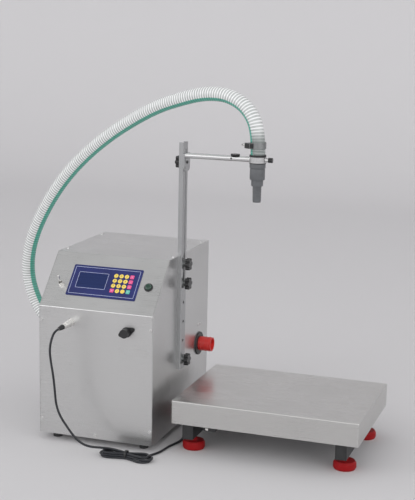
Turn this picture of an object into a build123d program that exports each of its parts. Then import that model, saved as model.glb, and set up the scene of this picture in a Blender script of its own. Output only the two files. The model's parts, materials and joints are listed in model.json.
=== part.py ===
from build123d import *
import math
import os

# Semi-automatic weigh filler: a stainless cabinet with a gear pump inside, a slotted mast with an
# arm that carries the filling nozzle, a clear reinforced hose, and a weighing platform on a cable.
# Millimetres, +Z up. The operator stands at -Y and the platform is on the +X side of the cabinet.
# The origin is the middle of the footprint, on the floor.

os.makedirs("parts", exist_ok=True)

# ---------------------------------------------------------------- driving dimensions
# Cabinet
CAB_W = 324.0  # width over the side panels
CAB_D = 436.0  # depth, front face to rear face
CAB_H = 476.0  # sheet height, bottom edge to top
SLOPE_RISE = 126.0  # height of the sloped panel, bend to top
SLOPE_RUN = 118.0  # how far back the sloped panel leans
SHEET = 1.5  # stainless sheet
SEAM = 0.4  # gap between neighbouring sheets
BEND_R = 3.0  # outside radius of a fold
FLANGE_W = 16.0  # return flanges that take the screws
TRAY_H = 20.0  # upturned edge of the base plate
FOOT_H = 19.0  # rubber feet
FOOT_R = 12.5
FOOT_INSET = 36.0
SCREW_R = 2.0  # M4 pan heads
SCREW_HEAD_R = 3.9
SCREW_HEAD_H = 2.2
SCREW_LENGTH = 8.0
HOLE_GAP = 0.15  # radial gap of a clearance hole
RUN_GAP = 0.06  # radial gap of a turning or sliding fit

# Keypad panel on the slope; "up" is measured along the slope from the bend
PANEL_W = 198.0
PANEL_UP = 95.0
PANEL_T = 2.0
PANEL_MID_UP = 87.5
PANEL_LIP = 9.0  # how far the panel laps over the sheet around its cut-out
DISPLAY_W = 80.0
DISPLAY_UP = 44.0
DISPLAY_X = -36.0
DISPLAY_MID_UP = 89.0
DISPLAY_DEPTH = 8.0
KEY_PITCH = 15.2
KEY_COUNT = 4
KEY_FIELD_X = 50.5
KEY_R = 6.0
KEY_PROUD = 0.8
KEY_FLANGE = 0.8
KEY_GAP = 0.25
KEY_SIDE = 11.2  # the square function keys
KEY_CORNER = 2.0
KEY_RIM = 0.9  # flange that keeps a key under the panel
BOARD_T = 1.6
BOARD_DEPTH = 15.0

# Start button and toggle switch on the slope
BUTTON_X = 125.6
BUTTON_UP = 84.8
BUTTON_BEZEL_R = 12.0
BUTTON_CAP_R = 9.2
BUTTON_CAP_H = 6.0
BUTTON_STEM_R = 5.0
BUTTON_BODY_R = 9.5
BUTTON_BODY_DEPTH = 24.0
BUTTON_TRAVEL = 3.0
TOGGLE_X = -120.0
TOGGLE_UP = 70.5
TOGGLE_BUSH_R = 6.0
TOGGLE_BUSH_H = 10.0
TOGGLE_BORE_R = 4.5
TOGGLE_PIN_R = 1.2
TOGGLE_PIN_GAP = 0.5
TOGGLE_PIVOT_H = 4.0
TOGGLE_LEVER_L = 32.0
TOGGLE_TILT = 12.0

# Sockets on the upright front, measured from the cabinet's middle and from the floor
SENSOR_X = -70.0
SENSOR_DROP = 38.0  # below the bend
SENSOR_THREAD_R = 8.0
SENSOR_PROUD = 9.0
RING_R = 9.8
RING_L = 13.5
SHELL_R = 9.0
PLUG_L = 43.0
BOOT_L = 24.0
AUX_X = 88.5
AUX_DROP = 48.0  # below the bend
AUX_TILT = 27.0
AUX_LENGTH = 49.0
AUX_WIDTH = 27.0
AUX_PLATE = 2.5
AUX_THREAD_R = 9.0
CAP_R = 12.0
CAP_L = 19.0

# Liquid ports, on the side panels
PORT_Y = 361.0  # from the front face
PORT_Z = 209.0
PORT_FLANGE_R = 33.0
PORT_FLANGE_T = 4.0
STUB_R = 17.0
STUB_BORE_R = 13.0
STUB_L = 30.0
INLET_CAP_R = 20.0
INLET_CAP_L = 37.0
OUTLET_HEX = 44.0
OUTLET_HEX_L = 18.0
OUTLET_REACH = 56.0  # barb tip from the side panel

# Pump set
MOTOR_R = 52.0
MOTOR_L = 170.0
LANTERN_R = 38.0
LANTERN_L = 50.0
LANTERN_WALL = 5.0
SHAFT_R = 7.0
COUPLING_R = 18.0
COUPLING_L = 30.0
GEAR_TEETH = 12
GEAR_MODULE = 3.0
GEAR_W = 30.0
GEAR_END_GAP = 0.3
IDLER_SHAFT_R = 6.0
IDLER_SHAFT_END = 4.0
PUMP_W = 84.0
PUMP_H = 96.0
PUMP_WALL = 7.0
CRADLE_T = 5.0

# Mast
MAST_W = 36.0
MAST_DEPTH = 12.5
MAST_T = 2.0
MAST_TAIL = 26.0  # mast below the bottom knob
MAST_L = 620.0
MAST_Y = 193.0  # middle of the mast, from the front face
SLOT_PLAY = 0.5  # radial gap of a stud in the slot
SLOT_TOP_MARGIN = 17.0
HOLE_PITCH = 53.0
TOP_KNOB_DROP = 22.0  # top knob below the cabinet's top
KNOB_PITCHES = 5  # hole pitches from the bottom knob to the top one
STUD_R = 4.0
KNOB_R = 17.0
KNOB_T = 12.0
KNOB_LOBES = 6
KNOB_WASHER_R = 13.0
KNOB_WASHER_T = 2.0
KNOB_SPACER_R = 7.5
KNOB_SPACER_T = 5.0

# Arm and nozzle
BRACKET_W = 44.0
BRACKET_H = 48.0
BRACKET_T = 4.0
BRACKET_DROP = 53.0  # bracket's middle below the mast's top
LUG_H = 30.0
PLATE_SCREW_R = 3.2
PLATE_SCREW_H = 1.8
PLATE_SCREW_PITCH = 20.0
ARM_RISE = 19.0  # arm above the bracket's middle
ARM_R = 7.5
ARM_BORE_R = 6.0
ARM_Y_OFFSET = -13.0  # the tube sits forward of the mast's middle
NOZZLE_REACH = 215.0  # nozzle axis from the side panel
NECK_R = 19.3
RING_WALL = 3.2
NECK_FLANGE_T = 3.5
HOSE_R = 19.5
HOSE_BORE_R = 16.0
BARB_GAP = 0.3
BARB_L = 33.0
NOZZLE_BORE_R = 11.5
COLLAR_LIP = 1.7  # how far the collar reaches under the arm's ring
COLLAR_H = 14.0
BODY_R = 19.2
BODY_H = 30.5
STEP_R = 15.6
STEP_H = 16.0
TIP_R = 11.8
TIP_BORE_R = 8.0
TIP_L = 43.0
CLAMP_T = 1.6
CLAMP_W = 16.0
CLAMP_RISE = 17.0  # band above the hose's end
END_SCREW_X = 154.0  # knurled screw on the arm, from the side panel
END_SCREW_R = 12.0
END_SCREW_T = 4.0
NOZZLE_SCREW_R = 5.5

# Weighing platform
PAN_GAP = 42.0
PAN_W = 500.0
PAN_D = 368.0
PAN_H = 62.0
PAN_TOP = 142.0
PAN_SETBACK = 28.0
PAN_EDGE_R = 4.0
SPIDER_H = 18.0
SPIDER_ARM_W = 30.0
SPIDER_L = 360.0  # over the pads, along X
SPIDER_D = 260.0
PAD_R = 12.0
PAD_T = 2.5
CELL_L = 150.0
CELL_W = 38.0
CELL_H = 26.0
CELL_GAP = 3.0
CELL_SEAT = 36.0  # length that is bolted down at each end
CELL_HOLE_R = 9.0
TUBE_W = 30.0
TUBE_H = 40.0
TUBE_WALL = 2.0
TUBE_INSET = 45.0  # middle of a side tube from the pan's edge
TUBE_SETBACK = 6.0  # end caps from the pan's edge
CAP_T = 3.0
CAP_PLUG = 12.0
BEAM_W = 40.0
BEAM_H = 28.0
LEVEL_FOOT_R = 30.0
LEVEL_FOOT_H = 22.0
LEVEL_FOOT_INSET = 58.0
LEVEL_STUD_R = 5.0
LEVEL_STUD_UP = 30.0  # stud above the foot's top
LEVEL_NUT_R = 9.0
LEVEL_NUT_H = 8.0

# Mains inlet and vents on the rear panel
INLET_W = 27.5
INLET_H = 19.8
INLET_RIM = 4.0
INLET_PROUD = 3.0
INLET_DEPTH = 25.0
POWER_X = 90.0
POWER_Z = 60.0  # above the cabinet's bottom edge
VENT_COUNT = 8
VENT_W = 90.0
VENT_H = 4.0
VENT_PITCH = 12.0

# Cords
CABLE_R = 3.0
HANK_H = 24.0
GLAND_Y = 165.0
GLAND_Z = 60.0
GLAND_L = 18.0
RADIUS_SHARE = 0.45  # share of the shorter run that an arc takes

# ---------------------------------------------------------------- places worked out from them
SPAN_X = OUTLET_REACH + CAB_W + PAN_GAP + PAN_W
CAB_X = -SPAN_X / 2 + OUTLET_REACH + CAB_W / 2
LEFT_X = CAB_X - CAB_W / 2
RIGHT_X = CAB_X + CAB_W / 2
CAP_REACH = AUX_PLATE + CAP_L
FRONT_Y = (CAP_REACH - CAB_D - INLET_PROUD) / 2
BACK_Y = FRONT_Y + CAB_D
BASE_Z = FOOT_H
TOP_Z = BASE_Z + CAB_H
BEND_Z = TOP_Z - SLOPE_RISE
SENSOR_Z = BEND_Z - SENSOR_DROP
AUX_Z = BEND_Z - AUX_DROP
SLOPE_ANGLE = math.degrees(math.atan2(SLOPE_RISE, SLOPE_RUN))
FIT = SHEET + SEAM  # what lies inside the outer sheets starts this far in

MOUNT_Y = FRONT_Y + MAST_Y
WEB_X = RIGHT_X + MAST_DEPTH
ARM_Y = MOUNT_Y + ARM_Y_OFFSET
NOZZLE_X = RIGHT_X + NOZZLE_REACH
TOP_KNOB_Z = TOP_Z - TOP_KNOB_DROP
BOTTOM_KNOB_Z = TOP_KNOB_Z - KNOB_PITCHES * HOLE_PITCH
KNOB_HEIGHTS = {
    "mast_knob_top": TOP_KNOB_Z,
    "mast_knob_middle": TOP_KNOB_Z - HOLE_PITCH,
    "mast_knob_bottom": BOTTOM_KNOB_Z,
}
MAST_BOTTOM = BOTTOM_KNOB_Z - MAST_TAIL
BRACKET_Z = MAST_BOTTOM + MAST_L - BRACKET_DROP
ARM_Z = BRACKET_Z + ARM_RISE
COLLAR_R = NECK_R + COLLAR_LIP
SLOT_W = 2 * (STUD_R + SLOT_PLAY)
SLOT_BOTTOM = KNOB_HEIGHTS["mast_knob_middle"] - SLOT_W
SLOT_TOP = MAST_BOTTOM + MAST_L - SLOT_TOP_MARGIN

PORT_LINE_Y = FRONT_Y + PORT_Y
GEAR_PITCH_R = GEAR_MODULE * GEAR_TEETH / 2
DRIVE_Z = PORT_Z - GEAR_PITCH_R
IDLER_Z = PORT_Z + GEAR_PITCH_R
PUMP_FRONT_Y = PORT_LINE_Y - GEAR_W / 2 - PUMP_WALL
MOTOR_FRONT_Y = PUMP_FRONT_Y - LANTERN_L

PAN_X = RIGHT_X + PAN_GAP + PAN_W / 2
PAN_Y = FRONT_Y + PAN_SETBACK + PAN_D / 2
PAN_BOTTOM = PAN_TOP - PAN_H
TUBE_TOP = PAN_BOTTOM - 1.0
TUBE_Z = TUBE_TOP - TUBE_H / 2
TUBE_X = (PAN_X - PAN_W / 2 + TUBE_INSET, PAN_X + PAN_W / 2 - TUBE_INSET)
FEET_Y = (PAN_Y - PAN_D / 2 + LEVEL_FOOT_INSET, PAN_Y + PAN_D / 2 - LEVEL_FOOT_INSET)


# ---------------------------------------------------------------- planes and small helpers
def right_plane(x, y, z):
    """Plane that faces +X, with its own x along +Y and its own y along +Z."""
    return Plane(origin=(x, y, z), x_dir=(0, 1, 0), z_dir=(1, 0, 0))


def left_plane(x, y, z):
    """Plane that faces -X, with its own x along -Y and its own y along +Z."""
    return Plane(origin=(x, y, z), x_dir=(0, -1, 0), z_dir=(-1, 0, 0))


def front_plane(x, y, z):
    """Plane that faces -Y, with its own x along +X and its own y along +Z."""
    return Plane(origin=(x, y, z), x_dir=(1, 0, 0), z_dir=(0, -1, 0))


def rear_plane(x, y, z):
    """Plane that faces +Y, with its own x along -X and its own y along +Z."""
    return Plane(origin=(x, y, z), x_dir=(-1, 0, 0), z_dir=(0, 1, 0))


def slope_plane(x, up, proud=0.0):
    """Plane on the sloped panel: x from the cabinet's middle, up along the slope, proud outwards."""
    c, s = math.cos(math.radians(SLOPE_ANGLE)), math.sin(math.radians(SLOPE_ANGLE))
    origin = (
        CAB_X + x,
        FRONT_Y + up * c - proud * s,
        BEND_Z + up * s + proud * c,
    )
    return Plane(origin=origin, x_dir=(1, 0, 0), z_dir=(0, -s, c))


def save(name, builder):
    """Labels a finished piece and writes it as one STEP file."""
    builder.part.label = name
    export_step(builder.part, f"parts/{name}.step")


def cabinet_outline(inset):
    """Side view of the cabinet, (y, z), shrunk by inset, with the two folds rounded."""
    with BuildSketch() as outline:
        with BuildLine():
            Polyline(
                (FRONT_Y, BASE_Z),
                (FRONT_Y, BEND_Z),
                (FRONT_Y + SLOPE_RUN, TOP_Z),
                (BACK_Y, TOP_Z),
                (BACK_Y, BASE_Z),
                close=True,
            )
        make_face()
        folds = [v for v in outline.vertices() if v.Y > BEND_Z - 1 and v.X < BACK_Y - 1]
        fillet(folds, radius=BEND_R)
        if inset:
            offset(amount=-inset)
    return outline.sketch


FRONT_SCREWS = [
    (x * (CAB_W / 2 - 6.5), z)
    for x in (-1, 1)
    for z in (BEND_Z - 37.5, BASE_Z + 38.0)
] + [(0.0, BASE_Z + 9.0)]
TOP_SCREWS = [(x * (CAB_W / 2 - 8.0), y) for x in (-1, 1) for y in (SLOPE_RUN + 45.0, CAB_D - 42.0)]
REAR_SCREWS = [(x * (CAB_W / 2 - 8.0), z) for x in (-1, 1) for z in (BASE_Z + 45.0, TOP_Z - 45.0)]
SIDE_SCREWS = [(PORT_Y - 7.0, PORT_Z + 57.0), (PORT_Y + 7.0, PORT_Z + 57.0)]


def screw_holes(plane, places):
    """Sketch of the cover screws' clearance holes."""
    with BuildSketch(plane) as holes:
        with Locations(*places):
            Circle(SCREW_R + HOLE_GAP)
    return holes.sketch


FRONT_FACE = front_plane(CAB_X, FRONT_Y, 0)
TOP_FACE = Plane(origin=(CAB_X, FRONT_Y, TOP_Z), x_dir=(1, 0, 0), z_dir=(0, 0, 1))
REAR_FACE = rear_plane(CAB_X, BACK_Y, 0)
RIGHT_FACE = right_plane(RIGHT_X, FRONT_Y, 0)
DEEP = 3 * FIT + 1.0  # deeper than the sheet and the flange behind it
CUTOUT_W = PANEL_W - 2 * PANEL_LIP
CUTOUT_UP = PANEL_UP - 2 * PANEL_LIP

# ---------------------------------------------------------------- cabinet sheets
with BuildPart() as front_cover:
    with BuildSketch(Plane.YZ.offset(LEFT_X + FIT)):
        add(cabinet_outline(0))
        add(cabinet_outline(SHEET), mode=Mode.SUBTRACT)
        with Locations((FRONT_Y + CAB_D / 2, BASE_Z + SHEET / 2)):
            Rectangle(CAB_D - 2 * SHEET, 2 * SHEET, mode=Mode.SUBTRACT)
        with Locations((BACK_Y, TOP_Z - SHEET - CAB_H / 2)):
            Rectangle(2 * SHEET + 1, CAB_H, mode=Mode.SUBTRACT)
    extrude(amount=CAB_W - 2 * FIT)
    extrude(screw_holes(FRONT_FACE, FRONT_SCREWS), amount=-SHEET - 1, mode=Mode.SUBTRACT)
    extrude(screw_holes(TOP_FACE, TOP_SCREWS), amount=-SHEET - 1, mode=Mode.SUBTRACT)
    with BuildSketch(slope_plane(0, PANEL_MID_UP)):
        Rectangle(CUTOUT_W, CUTOUT_UP)
    extrude(amount=-DEEP, mode=Mode.SUBTRACT)
    with BuildSketch(slope_plane(BUTTON_X, BUTTON_UP)):
        Circle(BUTTON_BODY_R + HOLE_GAP)
    extrude(amount=-DEEP, mode=Mode.SUBTRACT)
    with BuildSketch(slope_plane(TOGGLE_X, TOGGLE_UP)):
        Circle(TOGGLE_BUSH_R + HOLE_GAP)
    extrude(amount=-DEEP, mode=Mode.SUBTRACT)
    with BuildSketch(FRONT_FACE):
        with Locations((SENSOR_X, SENSOR_Z)):
            Circle(SENSOR_THREAD_R + HOLE_GAP)
        with Locations((AUX_X, AUX_Z)):
            Circle(AUX_THREAD_R + HOLE_GAP)
    extrude(amount=-DEEP, mode=Mode.SUBTRACT)
save("front_cover", front_cover)


def side_panel(face_x, inward):
    """Side panel: the cabinet's outline with return flanges along the front, slope, top and rear."""
    plate_start = face_x if inward > 0 else face_x - SHEET
    flange_start = face_x + inward * SHEET
    with BuildPart() as panel:
        with BuildSketch(Plane.YZ.offset(plate_start)):
            add(cabinet_outline(0))
        extrude(amount=SHEET)
        with BuildSketch(Plane.YZ.offset(flange_start)):
            add(cabinet_outline(FIT))
            add(cabinet_outline(FIT + SHEET), mode=Mode.SUBTRACT)
            with Locations((FRONT_Y + CAB_D / 2, BASE_Z)):
                Rectangle(CAB_D, 2 * (TRAY_H + 5), mode=Mode.SUBTRACT)
        extrude(amount=inward * FLANGE_W)
        extrude(screw_holes(FRONT_FACE, [p for p in FRONT_SCREWS if p[0] * inward < 0]), amount=-DEEP, mode=Mode.SUBTRACT)
        extrude(screw_holes(TOP_FACE, [p for p in TOP_SCREWS if p[0] * inward < 0]), amount=-DEEP, mode=Mode.SUBTRACT)
        extrude(screw_holes(REAR_FACE, [(-x, z) for x, z in REAR_SCREWS if x * inward < 0]), amount=-DEEP, mode=Mode.SUBTRACT)
        with BuildSketch(Plane.YZ.offset(face_x)):
            with Locations((PORT_LINE_Y, PORT_Z)):
                Circle(STUB_R + HOLE_GAP)
        extrude(amount=SHEET, both=True, mode=Mode.SUBTRACT)
        if inward < 0:
            extrude(screw_holes(RIGHT_FACE, SIDE_SCREWS), amount=-SHEET - 1, mode=Mode.SUBTRACT)
            with BuildSketch(RIGHT_FACE):
                with Locations(*[(MAST_Y, z) for z in KNOB_HEIGHTS.values()]):
                    Circle(STUD_R + RUN_GAP)
            extrude(amount=-SHEET, mode=Mode.SUBTRACT)
    return panel


save("left_side_panel", side_panel(LEFT_X, 1))
save("right_side_panel", side_panel(RIGHT_X, -1))

TRAY_W = CAB_W - 2 * FIT
TRAY_D = CAB_D - 2 * FIT
TRAY_CORNER = FLANGE_W + 4.0  # upturned edges stop short of the side panels' flanges
with BuildPart() as base_plate:
    with BuildSketch(Plane.XY.offset(BASE_Z)):
        with Locations((CAB_X, FRONT_Y + CAB_D / 2)):
            Rectangle(TRAY_W, TRAY_D)
    extrude(amount=TRAY_H)
    with BuildSketch(Plane.XY.offset(BASE_Z + SHEET)):
        with Locations((CAB_X, FRONT_Y + CAB_D / 2)):
            Rectangle(TRAY_W - 2 * SHEET, TRAY_D - 2 * SHEET)
    extrude(amount=TRAY_H, mode=Mode.SUBTRACT)
    extrude(screw_holes(FRONT_FACE, FRONT_SCREWS[-1:]), amount=-DEEP, mode=Mode.SUBTRACT)
save("base_plate", base_plate)

with BuildPart() as rear_panel:
    with BuildSketch(rear_plane(CAB_X, BACK_Y, BASE_Z + (CAB_H - FIT) / 2)):
        Rectangle(CAB_W - 2 * FIT, CAB_H - FIT)
        with Locations((0, CAB_H / 4)):
            with GridLocations(VENT_W + 20.0, VENT_PITCH, 2, VENT_COUNT):
                SlotOverall(VENT_W, VENT_H, mode=Mode.SUBTRACT)
    extrude(amount=-SHEET)
    extrude(screw_holes(REAR_FACE, REAR_SCREWS), amount=-SHEET - 1, mode=Mode.SUBTRACT)
    with BuildSketch(REAR_FACE):
        with Locations((POWER_X, BASE_Z + POWER_Z)):
            Rectangle(INLET_W + 2 * HOLE_GAP, INLET_H + 2 * HOLE_GAP)
    extrude(amount=-2 * SHEET, mode=Mode.SUBTRACT)
save("rear_panel", rear_panel)

SCREW_SETS = [
    (FRONT_FACE, FRONT_SCREWS),
    (TOP_FACE, TOP_SCREWS),
    (REAR_FACE, REAR_SCREWS),
    (RIGHT_FACE, SIDE_SCREWS),
]
with BuildPart() as panel_screws:
    for plane, places in SCREW_SETS:
        with BuildSketch(plane):
            with Locations(*places):
                Circle(SCREW_HEAD_R)
        extrude(amount=SCREW_HEAD_H)
        with BuildSketch(plane):
            with Locations(*places):
                Circle(SCREW_R)
        extrude(amount=-SCREW_LENGTH)
        with BuildSketch(plane.offset(SCREW_HEAD_H)):
            with Locations(*places):
                Rectangle(SCREW_HEAD_R, 0.8)
                Rectangle(0.8, SCREW_HEAD_R)
        extrude(amount=-SCREW_HEAD_H / 2, mode=Mode.SUBTRACT)
save("panel_screws", panel_screws)

with BuildPart() as cabinet_feet:
    with BuildSketch(Plane.XY):
        with Locations((CAB_X, FRONT_Y + CAB_D / 2)):
            with GridLocations(CAB_W - 2 * FOOT_INSET, CAB_D - 2 * FOOT_INSET, 2, 2):
                Circle(FOOT_R)
    extrude(amount=FOOT_H, taper=5)
    fillet(cabinet_feet.edges().group_by(Axis.Z)[0], radius=1.5)
save("cabinet_feet", cabinet_feet)

# ---------------------------------------------------------------- keypad, display and switches
KEY_FIELD_UP = PANEL_MID_UP - 0.5
KEY_HOLE = KEY_SIDE + 2 * KEY_GAP
KEY_HEIGHT = KEY_FLANGE + KEY_GAP + PANEL_T + KEY_PROUD
KEY_PLACES = [
    (column, row) for row in range(KEY_COUNT) for column in range(KEY_COUNT)
]  # row 0 is the top row


def key_place(column, row):
    """Middle of a key on the panel's own plane, from the panel's middle."""
    middle = (KEY_COUNT - 1) / 2
    x = KEY_FIELD_X + (column - middle) * KEY_PITCH
    up = KEY_FIELD_UP - PANEL_MID_UP - (row - middle) * KEY_PITCH
    return (x, up)


FUNCTION_PLACES = [(3, 0), (3, 1), (3, 2), (0, 3)]
ENTER_PLACES = [(3, 3)]
NUMBER_PLACES = [p for p in KEY_PLACES if p not in FUNCTION_PLACES + ENTER_PLACES]

with BuildPart() as keypad_panel:
    with BuildSketch(slope_plane(0, PANEL_MID_UP)):
        RectangleRounded(PANEL_W, PANEL_UP, 3)
        with Locations((DISPLAY_X, DISPLAY_MID_UP - PANEL_MID_UP)):
            Rectangle(DISPLAY_W, DISPLAY_UP, mode=Mode.SUBTRACT)
        with Locations(*[key_place(*p) for p in NUMBER_PLACES]):
            Circle(KEY_R + KEY_GAP, mode=Mode.SUBTRACT)
        with Locations(*[key_place(*p) for p in FUNCTION_PLACES + ENTER_PLACES]):
            RectangleRounded(KEY_HOLE, KEY_HOLE, KEY_CORNER + KEY_GAP, mode=Mode.SUBTRACT)
    extrude(amount=PANEL_T)
    chamfer(keypad_panel.faces().sort_by(slope_plane(0, 0).location.z_axis)[-1].outer_wire().edges(), 0.6)
save("keypad_panel", keypad_panel)


def keys(places, round_keys):
    """Keys with a flange under the panel, one solid each."""
    with BuildPart() as group:
        for grow, height in ((KEY_RIM, KEY_FLANGE), (0.0, KEY_HEIGHT)):
            with BuildSketch(slope_plane(0, PANEL_MID_UP, -KEY_GAP - KEY_FLANGE)):
                with Locations(*[key_place(*p) for p in places]):
                    if round_keys:
                        Circle(KEY_R + grow)
                    else:
                        side = KEY_SIDE + 2 * grow
                        RectangleRounded(side, side, KEY_CORNER)
            extrude(amount=height)
        tops = group.faces().group_by(slope_plane(0, 0).location.z_axis)[-1]
        fillet([e for face in tops for e in face.edges()], radius=0.5)
    return group


save("number_keys", keys(NUMBER_PLACES, True))
save("function_keys", keys(FUNCTION_PLACES, False))
save("enter_key", keys(ENTER_PLACES, False))

with BuildPart() as display_module:
    with BuildSketch(slope_plane(DISPLAY_X, DISPLAY_MID_UP, -DISPLAY_DEPTH)):
        RectangleRounded(DISPLAY_W - 2 * KEY_GAP, DISPLAY_UP - 2 * KEY_GAP, 1)
    extrude(amount=DISPLAY_DEPTH + PANEL_T - 0.4)
save("display_module", display_module)

POST_R = 3.0
with BuildPart() as control_board:
    board = slope_plane(0, PANEL_MID_UP, -SHEET - BOARD_DEPTH)
    with BuildSketch(board):
        Rectangle(PANEL_W, PANEL_UP)
    extrude(amount=-BOARD_T)
    with BuildSketch(board):
        with GridLocations(PANEL_W - PANEL_LIP, PANEL_UP - PANEL_LIP, 2, 2):
            Circle(POST_R)
    extrude(amount=BOARD_DEPTH)
    with BuildSketch(board.offset(-BOARD_T)):
        with Locations((-50, 10), (15, -15)):
            Rectangle(24, 24)
        with Locations((65, 20)):
            Rectangle(30, 14)
    extrude(amount=-6)
save("control_board", control_board)

with BuildPart() as button_bezel:
    seat = slope_plane(BUTTON_X, BUTTON_UP)
    with BuildSketch(seat):
        Circle(BUTTON_BEZEL_R)
    extrude(amount=3.0)
    fillet(button_bezel.edges().sort_by(seat.location.z_axis)[-1], radius=1.2)
    with BuildSketch(seat):
        Circle(BUTTON_BODY_R)
    extrude(amount=-BUTTON_BODY_DEPTH)
    with BuildSketch(seat.offset(-SHEET)):
        RegularPolygon(BUTTON_BEZEL_R, 6)
    extrude(amount=-4.0)
    with BuildSketch(seat.offset(3.0)):
        Circle(BUTTON_CAP_R + 2 * RUN_GAP)
    extrude(amount=-BUTTON_TRAVEL - 3.0, mode=Mode.SUBTRACT)
    with BuildSketch(seat.offset(3.0)):
        Circle(BUTTON_STEM_R + RUN_GAP)
    extrude(amount=-BUTTON_BODY_DEPTH + 2.0, mode=Mode.SUBTRACT)
save("button_bezel", button_bezel)

with BuildPart() as start_button:
    with BuildSketch(slope_plane(BUTTON_X, BUTTON_UP, 1.0)):
        Circle(BUTTON_CAP_R)
    extrude(amount=BUTTON_CAP_H + 1.0)
    top_edge = start_button.edges().sort_by(slope_plane(0, 0).location.z_axis)[-1]
    fillet(top_edge, radius=BUTTON_CAP_H - 1.5)
    with BuildSketch(slope_plane(BUTTON_X, BUTTON_UP, 1.0)):
        Circle(BUTTON_STEM_R)
    extrude(amount=-BUTTON_BODY_DEPTH + 10.0)
save("start_button", start_button)

with BuildPart() as toggle_body:
    base = slope_plane(TOGGLE_X, TOGGLE_UP)
    with BuildSketch(base.offset(-SHEET)):
        Rectangle(14, 24)
    extrude(amount=-26)
    with BuildSketch(base.offset(-SHEET)):
        Circle(TOGGLE_BUSH_R)
    extrude(amount=SHEET + TOGGLE_BUSH_H)
    with BuildSketch(base):
        RegularPolygon(8.6, 6)
    extrude(amount=2.6)
    with BuildSketch(base):
        Circle(TOGGLE_BORE_R)
    extrude(amount=TOGGLE_BUSH_H, mode=Mode.SUBTRACT)
save("toggle_body", toggle_body)

PIVOT = slope_plane(TOGGLE_X, TOGGLE_UP, TOGGLE_PIVOT_H)
LEVER_PLANE = PIVOT.rotated((-TOGGLE_TILT, 0, 0))
with BuildPart() as toggle_lever:
    with BuildSketch(Plane(origin=LEVER_PLANE.origin, x_dir=LEVER_PLANE.x_dir, z_dir=-LEVER_PLANE.y_dir)):
        with BuildLine():
            Polyline(
                (0, 0),
                (1.6, 0),
                (1.9, TOGGLE_BUSH_H),
                (3.0, TOGGLE_LEVER_L - 4),
            )
            RadiusArc((3.0, TOGGLE_LEVER_L - 4), (0, TOGGLE_LEVER_L - 1), -3.0)
            Line((0, TOGGLE_LEVER_L - 1), (0, 0))
        make_face()
    revolve(axis=Axis(LEVER_PLANE.origin, LEVER_PLANE.z_dir))
    with Locations(LEVER_PLANE):
        Sphere(TOGGLE_BORE_R - 1.0)
    with BuildSketch(Plane(origin=LEVER_PLANE.origin, x_dir=(0, 1, 0), z_dir=(1, 0, 0))):
        Circle(TOGGLE_PIN_R)
    extrude(amount=TOGGLE_BORE_R - TOGGLE_PIN_GAP, both=True)
save("toggle_lever", toggle_lever)

# ---------------------------------------------------------------- sockets on the upright front
SENSOR = front_plane(CAB_X + SENSOR_X, FRONT_Y, SENSOR_Z)
with BuildPart() as sensor_socket:
    with BuildSketch(SENSOR):
        Circle(11)
    extrude(amount=2.5)
    with BuildSketch(SENSOR.offset(-18)):
        Circle(SENSOR_THREAD_R)
    extrude(amount=18 + SENSOR_PROUD)
    with BuildSketch(SENSOR.offset(SENSOR_PROUD)):
        Circle(SENSOR_THREAD_R - 1.5)
    extrude(amount=-5, mode=Mode.SUBTRACT)
save("sensor_socket", sensor_socket)

PLUG_START = SENSOR_PROUD + 0.2
RING_START = 3.0
with BuildPart() as sensor_plug:
    plug_steps = [
        (PLUG_START, SENSOR_THREAD_R - 0.4, RING_START + RING_L + 0.4 - PLUG_START),
        (RING_START + RING_L + 0.4, SHELL_R, 20.0),
        (RING_START + RING_L + 20.4, SHELL_R - 1.8, PLUG_L - RING_L - 14.0),
    ]
    for start, radius, length in plug_steps:
        with BuildSketch(SENSOR.offset(start)):
            Circle(radius)
        extrude(amount=length)
    BOOT_START = RING_START + 20.4 + PLUG_L - 14.0
    with BuildSketch(SENSOR.offset(BOOT_START)):
        Circle(SHELL_R - 3.0)
    with BuildSketch(SENSOR.offset(BOOT_START + BOOT_L)):
        Circle(CABLE_R + 1.2)
    loft()
BOOT_END = BOOT_START + BOOT_L
save("sensor_plug", sensor_plug)

with BuildPart() as coupling_ring:
    with BuildSketch(SENSOR.offset(RING_START)):
        Circle(RING_R)
        with PolarLocations(RING_R + 0.2, 24):
            Circle(0.5, mode=Mode.SUBTRACT)
        Circle(SENSOR_THREAD_R + RUN_GAP, mode=Mode.SUBTRACT)
    extrude(amount=RING_L)
save("coupling_ring", coupling_ring)

AUX_ACROSS = (math.cos(math.radians(AUX_TILT)), 0, math.sin(math.radians(AUX_TILT)))
AUX = Plane(origin=(CAB_X + AUX_X, FRONT_Y, AUX_Z), x_dir=AUX_ACROSS, z_dir=(0, -1, 0))
EAR_R = 5.5
EAR_X = AUX_LENGTH / 2 - EAR_R
with BuildPart() as aux_socket:
    with BuildSketch(AUX) as flange_sketch:
        Circle(AUX_WIDTH / 2)
        with Locations((EAR_X, 0), (-EAR_X, 0)):
            Circle(EAR_R)
        make_hull()
    extrude(amount=AUX_PLATE)
    with BuildSketch(AUX):
        with Locations((EAR_X, 0), (-EAR_X, 0)):
            Circle(3.2)
    extrude(amount=AUX_PLATE + 1.8)
    with BuildSketch(AUX.offset(-20)):
        Circle(AUX_THREAD_R)
    extrude(amount=20 + AUX_PLATE + CAP_L - 7)
    with BuildSketch(AUX.offset(AUX_PLATE + CAP_L - 7)):
        Circle(AUX_THREAD_R - 2)
    extrude(amount=-6, mode=Mode.SUBTRACT)
save("aux_socket", aux_socket)

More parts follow.
